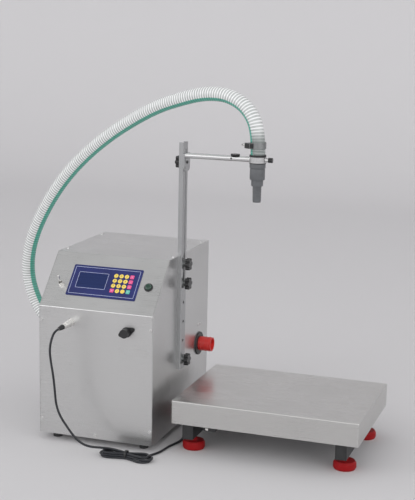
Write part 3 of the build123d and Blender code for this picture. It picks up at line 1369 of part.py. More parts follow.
SENSOR_CABLE_POINTS = [
    place(SENSOR_X, -BOOT_END, SENSOR_Z),
    place(SENSOR_X, -98, SENSOR_Z),
    place(-73, -112, 312),
    place(-77, -114, 285),
    place(-76, -109, 253),
    place(-71, -106, 217),
    place(-68, -103, 177),
    place(-66, -101, 139),
    place(-57, -98, 108),
    place(-38, -95, 79),
    place(-18, -90, 50),
    place(2, -84, 27),
    place(20, -76, 10),
    place(38, -66, 5),
    place(53, -62, 6),
]
save("sensor_cable", tube("sensor_cable", SENSOR_CABLE_POINTS, CABLE_R, 0))

PLATFORM_CABLE_POINTS = [
    place(150, -42, 7),
    place(161, -30, 4),
    place(172, -13, 3),
    place(181, 9, 3),
    place(185, 34, 3),
    place(188, 60, 3),
    place(195, 82, 3),
    place(201, 106, 3),
    place(202, 132, 4),
    place(198, 151, 12),
    place(192, 160, 29),
    place(192, 163, 47),
    place(201, 164.5, 59),
    Vector(TUBE_X[0] - TUBE_W / 2 - GLAND_L, FRONT_Y + GLAND_Y, GLAND_Z),
]
save("platform_cable", tube("platform_cable", PLATFORM_CABLE_POINTS, CABLE_R, 0))

# The spare cable, tied in the middle, with a small loop on the left and a wide one on the right
HANK_TIE = place(114, -60, 0)
HANK_LOBES = ((-41.0, 35.0, 15.0, 8.0), (33.5, 42.5, 24.0, 11.0))
TIE_W = 24.0
TIE_D = 18.0
with BuildPart() as cable_hank:
    with BuildSketch(Plane(origin=HANK_TIE)):
        for middle, half_length, half_width, bundle in HANK_LOBES:
            with Locations((middle, 0)):
                Ellipse(half_length, half_width)
        Rectangle(TIE_W, TIE_D)
        for middle, half_length, half_width, bundle in HANK_LOBES:
            with Locations((middle, 0)):
                Ellipse(half_length - bundle, half_width - bundle, mode=Mode.SUBTRACT)
    extrude(amount=HANK_H)
    fillet(cable_hank.edges().group_by(Axis.Z)[-1], radius=2)
save("cable_hank", cable_hank)
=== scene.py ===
"""Looks of a semi-automatic weigh filler: steel cabinet, mast, hose-fed nozzle and weighing platform.

Everything is in metres in the frame's own axes: +Z up, -Y towards the operator, +X from the cabinet
to the weighing platform. Places come from the frame's boxes; only shapes and finishes are set here.
"""

import json
import logging
import math
from dataclasses import dataclass, field
from enum import Enum
from typing import ClassVar

import bpy
import numpy as np
from mathutils import Matrix, Vector


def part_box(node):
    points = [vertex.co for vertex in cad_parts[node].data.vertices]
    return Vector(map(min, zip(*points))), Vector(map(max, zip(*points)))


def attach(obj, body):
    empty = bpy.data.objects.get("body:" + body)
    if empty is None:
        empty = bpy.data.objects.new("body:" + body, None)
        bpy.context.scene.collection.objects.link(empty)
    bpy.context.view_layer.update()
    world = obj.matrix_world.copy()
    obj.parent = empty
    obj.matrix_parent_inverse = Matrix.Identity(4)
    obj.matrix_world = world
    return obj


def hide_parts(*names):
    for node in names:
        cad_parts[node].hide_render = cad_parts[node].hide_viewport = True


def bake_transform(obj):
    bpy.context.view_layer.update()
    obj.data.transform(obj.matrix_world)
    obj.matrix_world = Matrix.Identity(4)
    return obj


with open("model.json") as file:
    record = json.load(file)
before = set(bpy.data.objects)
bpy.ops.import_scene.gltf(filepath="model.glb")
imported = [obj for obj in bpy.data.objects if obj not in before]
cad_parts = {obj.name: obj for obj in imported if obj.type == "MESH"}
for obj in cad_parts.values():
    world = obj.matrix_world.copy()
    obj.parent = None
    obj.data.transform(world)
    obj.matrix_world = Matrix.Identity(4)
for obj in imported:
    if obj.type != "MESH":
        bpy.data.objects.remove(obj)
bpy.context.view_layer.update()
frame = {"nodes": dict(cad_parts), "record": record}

log = logging.getLogger("weigh_filler")
MM = 0.001


# ---------------------------------------------------------------- node helpers
class NodeBoard:
    """A material's node tree with short calls for the nodes the finishes use."""

    def __init__(self, name: str) -> None:
        """Starts a material with one Principled shader.

        Args:
            name: the material's name.
        """
        self.material = bpy.data.materials.new(name)
        self.material.use_nodes = True
        self.tree = self.material.node_tree
        self.shader = self.tree.nodes["Principled BSDF"]

    def node(self, kind: str, **settings: object) -> bpy.types.Node:
        """Adds a node and sets its properties.

        Args:
            kind: Blender's node type name.
            settings: properties of the node.

        Returns:
            The new node.
        """
        made = self.tree.nodes.new(kind)
        for key, value in settings.items():
            setattr(made, key, value)
        return made

    def link(self, source: bpy.types.NodeSocket, target: bpy.types.NodeSocket) -> None:
        """Joins two sockets."""
        self.tree.links.new(source, target)

    def coordinates(self, scale: tuple[float, float, float]) -> bpy.types.NodeSocket:
        """Object coordinates, stretched by a scale.

        Args:
            scale: how often a pattern repeats along each axis, per metre.

        Returns:
            The mapped vector's socket.
        """
        source = self.node("ShaderNodeTexCoord")
        mapping = self.node("ShaderNodeMapping")
        mapping.inputs["Scale"].default_value = scale
        self.link(source.outputs["Object"], mapping.inputs["Vector"])
        return mapping.outputs["Vector"]

    def noise(self, vector: bpy.types.NodeSocket, detail: float = 3.0) -> bpy.types.NodeSocket:
        """Noise between 0 and 1 along a mapped vector.

        Args:
            vector: the mapped vector's socket.
            detail: how many finer layers the noise has.

        Returns:
            The noise's socket.
        """
        made = self.node("ShaderNodeTexNoise")
        made.inputs["Scale"].default_value = 1.0
        made.inputs["Detail"].default_value = detail
        self.link(vector, made.inputs["Vector"])
        return made.outputs["Fac"]

    def ramp(
        self, value: bpy.types.NodeSocket, low: float, high: float, start: float = 0.3, end: float = 0.7
    ) -> bpy.types.NodeSocket:
        """Stretches a value from one range to another.

        Args:
            value: the socket to stretch.
            low: result at start.
            high: result at end.
            start: value that gives low.
            end: value that gives high.

        Returns:
            The stretched value's socket.
        """
        made = self.node("ShaderNodeMapRange")
        made.inputs["From Min"].default_value = start
        made.inputs["From Max"].default_value = end
        made.inputs["To Min"].default_value = low
        made.inputs["To Max"].default_value = high
        self.link(value, made.inputs["Value"])
        return made.outputs["Result"]

    def mix(
        self, factor: bpy.types.NodeSocket, first: object, second: object
    ) -> bpy.types.NodeSocket:
        """Mixes two colours by a factor.

        Args:
            factor: 0 for the first colour and 1 for the second.
            first: a colour tuple or a socket.
            second: a colour tuple or a socket.

        Returns:
            The mixed colour's socket.
        """
        made = self.node("ShaderNodeMix", data_type="RGBA")
        self.link(factor, made.inputs[0])
        for entry, socket in ((first, made.inputs[6]), (second, made.inputs[7])):
            if isinstance(entry, tuple):
                socket.default_value = (*entry, 1.0)
            else:
                self.link(entry, socket)
        return made.outputs[2]

    def math(self, operation: str, first: object, second: object = 0.0) -> bpy.types.NodeSocket:
        """One step of arithmetic on sockets or numbers.

        Args:
            operation: Blender's name of the step.
            first: a number or a socket.
            second: a number or a socket.

        Returns:
            The result's socket.
        """
        made = self.node("ShaderNodeMath", operation=operation)
        for entry, socket in ((first, made.inputs[0]), (second, made.inputs[1])):
            if isinstance(entry, (int, float)):
                socket.default_value = entry
            else:
                self.link(entry, socket)
        return made.outputs[0]

    def bump(self, height: bpy.types.NodeSocket, depth: float) -> None:
        """Raises the surface by a height pattern.

        Args:
            height: the pattern's socket.
            depth: height of the pattern in metres.
        """
        made = self.node("ShaderNodeBump")
        made.inputs["Strength"].default_value = 1.0
        made.inputs["Distance"].default_value = depth
        self.link(height, made.inputs["Height"])
        self.link(made.outputs["Normal"], self.shader.inputs["Normal"])

    def set(self, **values: object) -> None:
        """Sets the shader's own sockets, underscores standing for spaces."""
        for key, value in values.items():
            self.shader.inputs[key.replace("_", " ")].default_value = value


# ---------------------------------------------------------------- finishes
class Grain(Enum):
    """Direction of the brushing on a sheet, as scratches per metre along X, Y and Z."""

    ALONG_X = (14.0, 2600.0, 2600.0)
    ALONG_Y = (2600.0, 14.0, 2600.0)
    ALONG_Z = (2600.0, 2600.0, 14.0)


@dataclass(frozen=True)
class BrushedSteel:
    """Brushed stainless sheet: fine scratches one way, with faint cloudy patches from handling."""

    name: str
    colour: tuple[float, float, float] = (0.66, 0.66, 0.655)
    grain: Grain = Grain.ALONG_X
    rough: tuple[float, float] = (0.24, 0.4)
    depth: float = 0.000004

    def build(self) -> bpy.types.Material:
        """Returns the material: scratches drive roughness and bump, clouds drive the tint."""
        board = NodeBoard(self.name)
        scratches = board.noise(board.coordinates(self.grain.value), 4.0)
        clouds = board.noise(board.coordinates((7.0, 7.0, 7.0)), 5.0)
        dull = tuple(0.86 * channel for channel in self.colour)
        fine = board.mix(board.ramp(scratches, 0.0, 0.2), self.colour, dull)
        tint = board.mix(board.ramp(clouds, 0.0, 0.3, 0.4, 0.75), fine, dull)
        board.link(tint, board.shader.inputs["Base Color"])
        roughness = board.math(
            "ADD", board.ramp(scratches, *self.rough), board.ramp(clouds, -0.04, 0.08)
        )
        board.link(roughness, board.shader.inputs["Roughness"])
        board.bump(scratches, self.depth)
        board.set(Metallic=1.0)
        return board.material


@dataclass(frozen=True)
class PlatedMetal:
    """Nickel or zinc plate: smooth, with a faint waviness and specks of dull."""

    name: str
    colour: tuple[float, float, float] = (0.78, 0.77, 0.75)
    rough: float = 0.16

    def build(self) -> bpy.types.Material:
        """Returns the material."""
        board = NodeBoard(self.name)
        specks = board.noise(board.coordinates((900.0, 900.0, 900.0)), 2.0)
        dull = tuple(0.75 * channel for channel in self.colour)
        tint = board.mix(board.ramp(specks, 0.0, 0.5), self.colour, dull)
        board.link(tint, board.shader.inputs["Base Color"])
        board.link(board.ramp(specks, self.rough, self.rough + 0.14), board.shader.inputs["Roughness"])
        board.bump(specks, 0.00001)
        board.set(Metallic=1.0)
        return board.material


@dataclass(frozen=True)
class MouldedPlastic:
    """Moulded plastic or rubber: even colour with a fine texture and slightly paler worn patches."""

    name: str
    colour: tuple[float, float, float]
    rough: float = 0.4
    texture: float = 0.00004
    scale: float = 1400.0
    specular: float = 0.5
    coat: float = 0.0

    def build(self) -> bpy.types.Material:
        """Returns the material."""
        board = NodeBoard(self.name)
        texture = board.noise(board.coordinates((self.scale,) * 3), 2.0)
        patches = board.noise(board.coordinates((35.0, 35.0, 35.0)), 4.0)
        pale = tuple(min(1.0, 1.12 * channel + 0.012) for channel in self.colour)
        tint = board.mix(board.ramp(patches, 0.0, 1.0), self.colour, pale)
        board.link(tint, board.shader.inputs["Base Color"])
        roughness = board.ramp(patches, self.rough - 0.05, self.rough + 0.1)
        board.link(roughness, board.shader.inputs["Roughness"])
        board.bump(texture, self.texture)
        board.set(Specular_IOR_Level=self.specular, Coat_Weight=self.coat)
        return board.material


@dataclass(frozen=True)
class HoseWall:
    """Clear hose wall with a white helix and a green stripe, drawn on the wall's own UV map.

    U runs once round the wall and V along it in turns of the helix. The helix shows where the
    fraction of U + V is small, the stripe where U is near its middle. Over the first few turns the
    dark barb of the fitting shows through.
    """

    name: str
    clear: tuple[float, float, float] = (0.56, 0.585, 0.575)
    helix: tuple[float, float, float] = (0.93, 0.94, 0.94)
    stripe: tuple[float, float, float] = (0.1, 0.47, 0.36)
    helix_share: float = 0.46
    stripe_share: float = 0.1
    fitted: tuple[float, float, float] = (0.2, 0.23, 0.22)
    fitted_turns: tuple[float, float] = (5.0, 8.5)

    def build(self) -> bpy.types.Material:
        """Returns the material."""
        board = NodeBoard(self.name)
        source = board.node("ShaderNodeTexCoord")
        parts = board.node("ShaderNodeSeparateXYZ")
        board.link(source.outputs["UV"], parts.inputs["Vector"])
        turn = board.math("FRACT", board.math("ADD", parts.outputs["X"], parts.outputs["Y"]))
        wave = board.math("ABSOLUTE", board.math("SUBTRACT", turn, 0.5))
        rib = board.ramp(wave, 1.0, 0.0, self.helix_share / 2 - 0.05, self.helix_share / 2 + 0.05)
        from_middle = board.math("ABSOLUTE", board.math("SUBTRACT", parts.outputs["X"], 0.5))
        stripe = board.ramp(from_middle, 1.0, 0.0, self.stripe_share - 0.01, self.stripe_share + 0.01)
        clouds = board.noise(board.coordinates((60.0, 60.0, 60.0)), 3.0)
        shade = tuple(0.8 * channel for channel in self.clear)
        wall = board.mix(board.ramp(clouds, 0.0, 1.0), self.clear, shade)
        ribbed = board.mix(rib, wall, self.helix)
        pushed_on = board.ramp(parts.outputs["Y"], 1.0, 0.0, *self.fitted_turns)
        ribbed = board.mix(board.math("MULTIPLY", pushed_on, 0.8), ribbed, self.fitted)
        dark = tuple(0.72 * channel for channel in self.stripe)
        green = board.mix(rib, dark, self.stripe)
        board.link(board.mix(stripe, ribbed, green), board.shader.inputs["Base Color"])
        board.bump(rib, 0.0006)
        board.set(Roughness=0.22, Coat_Weight=0.5, Coat_Roughness=0.08, Subsurface_Weight=0.0)
        return board.material


@dataclass(frozen=True)
class KeypadFilm:
    """Printed film on the keypad: satin blue with a faint weave of the print and faint cloudy tone."""

    name: str
    colour: tuple[float, float, float] = (0.014, 0.022, 0.135)

    def build(self) -> bpy.types.Material:
        """Returns the material."""
        board = NodeBoard(self.name)
        print_dots = board.noise(board.coordinates((2600.0, 2600.0, 2600.0)), 1.0)
        clouds = board.noise(board.coordinates((18.0, 18.0, 18.0)), 3.0)
        deep = tuple(0.8 * channel for channel in self.colour)
        lit = tuple(1.2 * channel for channel in self.colour)
        tint = board.mix(board.ramp(clouds, 0.0, 1.0), deep, lit)
        board.link(tint, board.shader.inputs["Base Color"])
        board.link(board.ramp(print_dots, 0.3, 0.42), board.shader.inputs["Roughness"])
        board.bump(print_dots, 0.00001)
        return board.material


@dataclass(frozen=True)
class DisplayGlass:
    """Display window: dark navy glass with faint rows of dots that catch the light."""

    name: str
    colour: tuple[float, float, float] = (0.012, 0.022, 0.085)

    def build(self) -> bpy.types.Material:
        """Returns the material."""
        board = NodeBoard(self.name)
        rows = board.noise(board.coordinates((4.0, 1200.0, 1200.0)), 1.0)
        paler = tuple(1.6 * channel + 0.004 for channel in self.colour)
        tint = board.mix(board.ramp(rows, 0.0, 1.0), self.colour, paler)
        board.link(tint, board.shader.inputs["Base Color"])
        board.set(Roughness=0.2, Specular_IOR_Level=0.25)
        return board.material


@dataclass(frozen=True)
class Palette:
    """Every finish of the object, by the name of the record's material slot."""

    finishes: dict[str, object] = field(
        default_factory=lambda: {
            "cabinet_steel": BrushedSteel("cabinet_steel"),
            "zinc_screws": PlatedMetal("zinc_screws", (0.8, 0.8, 0.79)),
            "black_rubber": MouldedPlastic("black_rubber", (0.016, 0.016, 0.017), 0.6),
            "keypad_blue": KeypadFilm("keypad_blue"),
            "display_navy": DisplayGlass("display_navy"),
            "board_green": MouldedPlastic("board_green", (0.02, 0.16, 0.06), 0.4),
            "key_yellow": MouldedPlastic("key_yellow", (0.88, 0.66, 0.12), 0.35, coat=0.2),
            "key_pink": MouldedPlastic("key_pink", (0.78, 0.09, 0.27), 0.35, coat=0.2),
            "key_green": MouldedPlastic("key_green", (0.12, 0.5, 0.4), 0.35, coat=0.2),
            "black_plastic": MouldedPlastic("black_plastic", (0.014, 0.014, 0.015), 0.35),
            "green_button": MouldedPlastic("green_button", (0.012, 0.05, 0.03), 0.16, coat=0.5),
            "switch_metal": PlatedMetal("switch_metal"),
            "plug_metal": PlatedMetal("plug_metal", (0.82, 0.81, 0.79), 0.12),
            "red_cap": MouldedPlastic("red_cap", (0.56, 0.02, 0.016), 0.32, coat=0.15),
            "port_black": MouldedPlastic("port_black", (0.015, 0.015, 0.016), 0.42),
            "clamp_steel": PlatedMetal("clamp_steel", (0.33, 0.34, 0.34), 0.24),
            "motor_paint": MouldedPlastic("motor_paint", (0.1, 0.14, 0.2), 0.45, 0.0001, 500.0),
            "cast_grey": MouldedPlastic("cast_grey", (0.22, 0.23, 0.24), 0.55, 0.0002, 300.0),
            "gear_steel": BrushedSteel("gear_steel", (0.55, 0.55, 0.56), Grain.ALONG_Y),
            "mast_steel": BrushedSteel("mast_steel", (0.46, 0.465, 0.47), Grain.ALONG_Z, (0.22, 0.36)),
            "knob_black": MouldedPlastic("knob_black", (0.01, 0.01, 0.011), 0.28, coat=0.1),
            "arm_steel": BrushedSteel("arm_steel", (0.72, 0.72, 0.72), Grain.ALONG_X, (0.12, 0.26)),
            "nozzle_grey": MouldedPlastic("nozzle_grey", (0.11, 0.115, 0.122), 0.4, 0.00006, 900.0),
            "hose_clear": HoseWall("hose_clear"),
            "pan_steel": BrushedSteel("pan_steel", (0.64, 0.635, 0.62), Grain.ALONG_X, (0.2, 0.36)),
            "scale_alloy": BrushedSteel("scale_alloy", (0.6, 0.61, 0.62), Grain.ALONG_Y, (0.3, 0.45)),
            "frame_black": MouldedPlastic("frame_black", (0.011, 0.011, 0.012), 0.45, 0.00012, 700.0),
            "foot_red": MouldedPlastic("foot_red", (0.3, 0.002, 0.004), 0.5, 0.00008, 700.0, specular=0.2),
            "cable_black": MouldedPlastic("cable_black", (0.008, 0.009, 0.014), 0.42, 0.00003, 1800.0),
            "print_white": MouldedPlastic("print_white", (0.55, 0.6, 0.82), 0.4),
            "print_dark": MouldedPlastic("print_dark", (0.16, 0.1, 0.03), 0.5),
        }
    )
    built: dict[str, bpy.types.Material] = field(default_factory=dict)

    def get(self, name: str) -> bpy.types.Material:
        """The material of a slot, built once.

        Args:
            name: the slot's name.

        Returns:
            The material.
        """
        if name not in self.built:
            self.built[name] = self.finishes[name].build()
        return self.built[name]

    def dress_frame(self) -> None:
        """Gives every CAD node the finish of its slot in the record."""
        for entry in frame["record"]["subparts"]:
            node = frame["nodes"][entry["node"]]
            material = self.get(entry["material_slot"])
            node.data.materials.clear()
            node.data.materials.append(material)


# ---------------------------------------------------------------- surfaces
def grid_mesh(
    name: str, points: np.ndarray, uv: np.ndarray | None = None, caps: bool = True
) -> bpy.types.Object:
    """Mesh of a surface closed round its second parameter.

    Face (i, j) joins points (i, j), (i, j+1), (i+1, j+1) and (i+1, j), with j wrapping round, and a
    single face closes each end.

    Args:
        name: the piece's name.
        points: array of rows x columns x 3.
        uv: array of rows x (columns + 1) x 2, or none.
        caps: whether the two ends get a face.

    Returns:
        The new object, at the origin.
    """
    rows, columns = points.shape[:2]
    i, j = np.meshgrid(np.arange(rows - 1), np.arange(columns), indexing="ij")
    following = (j + 1) % columns
    quads = np.stack(
        [i * columns + j, i * columns + following, (i + 1) * columns + following, (i + 1) * columns + j], -1
    ).reshape(-1, 4)
    faces = quads.tolist()
    if caps:
        ends = np.arange(columns)
        faces.append(ends[::-1].tolist())
        faces.append((ends + (rows - 1) * columns).tolist())
    mesh = bpy.data.meshes.new(name)
    mesh.from_pydata(points.reshape(-1, 3).tolist(), [], faces)
    if uv is not None:
        corners = np.stack([uv[i, j], uv[i, j + 1], uv[i + 1, j + 1], uv[i + 1, j]], 2).reshape(-1, 2)
        spare = np.zeros((len(mesh.loops) - len(corners), 2))
        layer = mesh.uv_layers.new(name="UVMap")
        layer.data.foreach_set("uv", np.vstack([corners, spare]).ravel().astype(np.float32))
    mesh.polygons.foreach_set("use_smooth", np.ones(len(mesh.polygons), bool))
    mesh.update()
    made = bpy.data.objects.new(name, mesh)
    bpy.context.scene.collection.objects.link(made)
    return made


def lathe(
    name: str,
    origin: Vector,
    axis: Vector,
    profile: list[tuple[float, float]],
    columns: int = 48,
    ripple: tuple[int, float] = (0, 0.0),
) -> bpy.types.Object:
    """Surface of revolution: each profile point's circle about the axis, rippled round if asked.

    Point (i, j) is origin + distance_i * axis + radius_i * (1 + depth * cos(count * angle_j)) times
    the unit vector at angle_j across the axis.

    Args:
        name: the piece's name.
        origin: where the profile's distance is 0.
        axis: direction of the profile's distance.
        profile: (distance, radius) points in metres, from one end to the other.
        columns: points round the axis.
        ripple: (count, depth) of waves round the axis.

    Returns:
        The new object.
    """
    steps = np.array(profile, float)
    along = np.array(axis.normalized())
    across = np.array(axis.orthogonal().normalized())
    third = np.cross(along, across)
    angle = np.linspace(0, 2 * np.pi, columns, endpoint=False)
    spoke = np.cos(angle)[:, None] * across + np.sin(angle)[:, None] * third
    wave = 1 + ripple[1] * np.cos(ripple[0] * angle)
    radius = steps[:, 1][:, None] * wave[None, :]
    points = np.array(origin) + steps[:, 0][:, None, None] * along + radius[..., None] * spoke[None]
    return grid_mesh(name, points)


def frame_ring(
    name: str, centre: Vector, right: Vector, up: Vector, size: tuple[float, float], width: float,
    thickness: float, corner: float,
) -> bpy.types.Object:
    """Flat rounded rectangular ring, as a printed border line.

    The ring's outline is a rounded rectangle, with arcs of the given radius at the four corners. The
    section is a rectangle swept round it, so the surface closes on itself.

    Args:
        name: the piece's name.
        centre: middle of the ring.
        right: unit vector along its width.
        up: unit vector along its height.
        size: outer width and height.
        width: width of the line.
        thickness: how proud the line stands.
        corner: outer corner radius.

    Returns:
        The new object.
    """
    arc = np.linspace(0, np.pi / 2, 5)
    angles = np.concatenate([arc + quarter * np.pi / 2 for quarter in range(4)])
    signs = np.repeat(np.array([[1, 1], [-1, 1], [-1, -1], [1, -1]]), 5, axis=0)
    half = np.array(size) / 2
    normal = np.array(right.cross(up))
    section = ((0.0, 0.0), (0.0, thickness), (width, thickness), (width, 0.0))
    rings = []
    for inset, lift in section:
        radius = max(corner - inset, 0.0001)
        flat = signs * (half - inset - radius) + radius * np.stack([np.cos(angles), np.sin(angles)], -1)
        ring = np.array(centre) + flat[:, :1] * np.array(right) + flat[:, 1:] * np.array(up) + lift * normal
        rings.append(ring)
    rings.append(rings[0])
    made = grid_mesh(name, np.stack(rings[::-1]), caps=False)
    made.data.polygons.foreach_set("use_smooth", np.zeros(len(made.data.polygons), bool))
    weld = made.modifiers.new("Weld", "WELD")
    weld.merge_threshold = 0.000001
    return made


def smooth_line(name: str, points: list[Vector]) -> np.ndarray:
    """Points read from the NURBS spline that a cord's route controls.

    Args:
        name: name of the curve made for the reading.
        points: the route's points.

    Returns:
        Array of points along the spline.
    """
    curve = nurbs_curve(name, points, 0.0, 24)
    holder = bpy.data.objects.new(name, curve)
    bpy.context.scene.collection.objects.link(holder)
    bpy.context.view_layer.update()
    read = bpy.data.meshes.new_from_object(holder)
    line = np.empty(len(read.vertices) * 3)
    read.vertices.foreach_get("co", line)
    bpy.data.objects.remove(holder)
    bpy.data.meshes.remove(read)
    bpy.data.curves.remove(curve)
    return line.reshape(-1, 3)


def nurbs_curve(name: str, points: list[Vector], radius: float, resolution: int) -> bpy.types.Curve:
    """Curve of one open NURBS spline with the route's points as its control points.

    Args:
        name: the curve's name.
        points: the route's points.
        radius: radius of the round section, or 0 for a bare line.
        resolution: steps between two control points.

    Returns:
        The curve.
    """
    curve = bpy.data.curves.new(name, "CURVE")
    curve.dimensions = "3D"
    curve.bevel_depth = radius
    curve.bevel_resolution = 5
    curve.use_fill_caps = True
    curve.resolution_u = resolution
    curve.render_resolution_u = resolution
    spline = curve.splines.new("NURBS")
    spline.points.add(len(points) - 1)
    flat = np.array([(*point, 1.0) for point in points], np.float32)
    spline.points.foreach_set("co", flat.ravel())
    spline.order_u = 3
    spline.use_endpoint_u = True
    spline.resolution_u = resolution
    return curve


def length_of(line: np.ndarray) -> float:
    """Length of a line of points, in metres."""
    return float(np.linalg.norm(np.diff(line, axis=0), axis=1).sum())


# ---------------------------------------------------------------- the object's own places
@dataclass(frozen=True)
class Places:
    """Places the pieces share, all read from the frame."""

    cabinet_x: float
    front_y: float
    bend_z: float
    bend_rise: ClassVar[float] = 0.350

    @classmethod
    def read(cls) -> "Places":
        """Reads the cabinet's middle, front face and bend from the frame."""
        low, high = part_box("front_cover")
        return cls((low[0] + high[0]) / 2, low[1], low[2] + cls.bend_rise)

    def point(self, x: float, y: float, z: float) -> Vector:
        """A point in metres from millimetres off the cabinet's middle, front face and floor."""
        return Vector((self.cabinet_x + x * MM, self.front_y + y * MM, z * MM))


@dataclass
class Slope:
    """The sloped panel's plane: x from the cabinet's middle and up along the slope from the bend."""

    places: Places
    rise: float = 126.0
    run: float = 118.0

    @property
    def up(self) -> Vector:
        """Unit vector up along the slope."""
        return Vector((0, self.run, self.rise)).normalized()

    @property
    def normal(self) -> Vector:
        """Unit vector out of the slope."""
        return Vector((1, 0, 0)).cross(self.up)

    def point(self, x: float, up: float, proud: float) -> Vector:
        """A point in metres from millimetres along, up and out of the slope."""
        bend = Vector((self.places.cabinet_x, self.places.front_y, self.places.bend_z))
        return bend + Vector((x, 0, 0)) * MM + self.up * up * MM + self.normal * proud * MM


# ---------------------------------------------------------------- sub-assemblies
@dataclass
class Hose:
    """Reinforced hose from the outlet on the left, over the cabinet, down to the nozzle."""

    places: Places
    palette: Palette
    radius: float = 0.0195
    bore: float = 0.016
    columns: int = 40
    helix_pitch: float = 0.0078
    rib: float = 0.0004
    spacing: float = 0.0026
    collar_gap: float = 0.0045
    straight: float = 0.062
    plane_normal: tuple[float, float, float] = (0.287, 0.958, 0.0)
    twist_places: tuple[float, float, float] = (0.0, 0.35, 0.8)
    twist: tuple[float, float, float, float] = (42.0, 18.0, 0.0, -8.0)
    stops: tuple[tuple[float, float, float], ...] = (
        (347, 190, 897),
        (291, 207, 928),
        (226, 227, 931),
        (157, 247, 917),
        (37.5, 283, 878),
        (-139.5, 336, 774),
        (-282, 379, 645),
        (-386, 410, 483),
        (-412, 418, 362),
        (-374, 406, 262),
        (-315, 385, 214),
        (-247, 361, 209),
        (-180, 361, 209),
    )

    def route(self) -> list[Vector]:
        """The hose's route: straight up from the nozzle, then over the stops to the outlet."""
        low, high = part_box("nozzle_body")
        nozzle_x, arm_y = (low[0] + high[0]) / 2, (low[1] + high[1]) / 2
        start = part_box("arm_tube")[1][2] + self.collar_gap
        return [
            Vector((nozzle_x, arm_y, start)),
            Vector((nozzle_x, arm_y, start + self.straight)),
            *(self.places.point(*stop) for stop in self.stops),
        ]

    def build(self) -> None:
        """Point (i, j) is line_i + r * (cos a_j * side_i + sin a_j * top_i), where side is the normal of
        the hose's own upright plane made square to the line, so the green stripe stays on the
        inside of the bend, apart from a slight twist towards the front.
        """
        line = smooth_line("hose_line", self.route())
        steps = np.linalg.norm(np.diff(line, axis=0), axis=1)
        travelled = np.concatenate([[0.0], np.cumsum(steps)])
        count = int(travelled[-1] / self.spacing)
        even = np.linspace(0, travelled[-1], count)
        line = np.stack([np.interp(even, travelled, line[:, axis]) for axis in range(3)], -1)
        tangent = np.gradient(line, axis=0)
        tangent /= np.linalg.norm(tangent, axis=1)[:, None]
        plane_normal = np.array(self.plane_normal)
        side = plane_normal - (tangent @ plane_normal)[:, None] * tangent
        side /= np.linalg.norm(side, axis=1)[:, None]
        top = np.cross(tangent, side)
        stations = [*self.twist_places, travelled[-1]]
        twist = np.radians(np.interp(even, stations, self.twist))
        angle = np.linspace(0, 2 * np.pi, self.columns, endpoint=False) - np.pi / 2 + twist[:, None]
        spoke = np.cos(angle)[..., None] * side[:, None, :] + np.sin(angle)[..., None] * top[:, None, :]
        around = np.arange(self.columns + 1) / self.columns
        turns = even / self.helix_pitch
        swell = np.cos(2 * np.pi * (around[None, :-1] + turns[:, None]))
        radius = self.radius - self.rib / 2 - self.rib / 2 * swell
        wall = line[:, None, :] + radius[..., None] * spoke
        inside = line[:, None, :] + self.bore * spoke
        points = np.concatenate([inside[:1], wall, inside[::-1]])
        v = np.concatenate([turns[:1], turns, turns[::-1]])
        uv = np.stack(np.broadcast_arrays(around[None, :], v[:, None]), -1)
        hose = grid_mesh("hose_wall", points, uv, caps=False)
        hose.data.materials.append(self.palette.get("hose_clear"))
        outward_first(hose)
        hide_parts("hose")
        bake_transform(hose)
        log.info("hose wall %.3f m", length_of(line))


@dataclass(frozen=True)
class HankTurn:
    """One turn of the hank, in metres from the tie's foot.

    It holds how far the turn's end loops reach, their radii, the height it lies at, and its (y, z) in
    the tie on the way right and on the way back left.
    """

    right_reach: float
    right_radius: float
    left_reach: float
    left_radius: float
    height: float
    tie_back: tuple[float, float]
    tie_front: tuple[float, float]


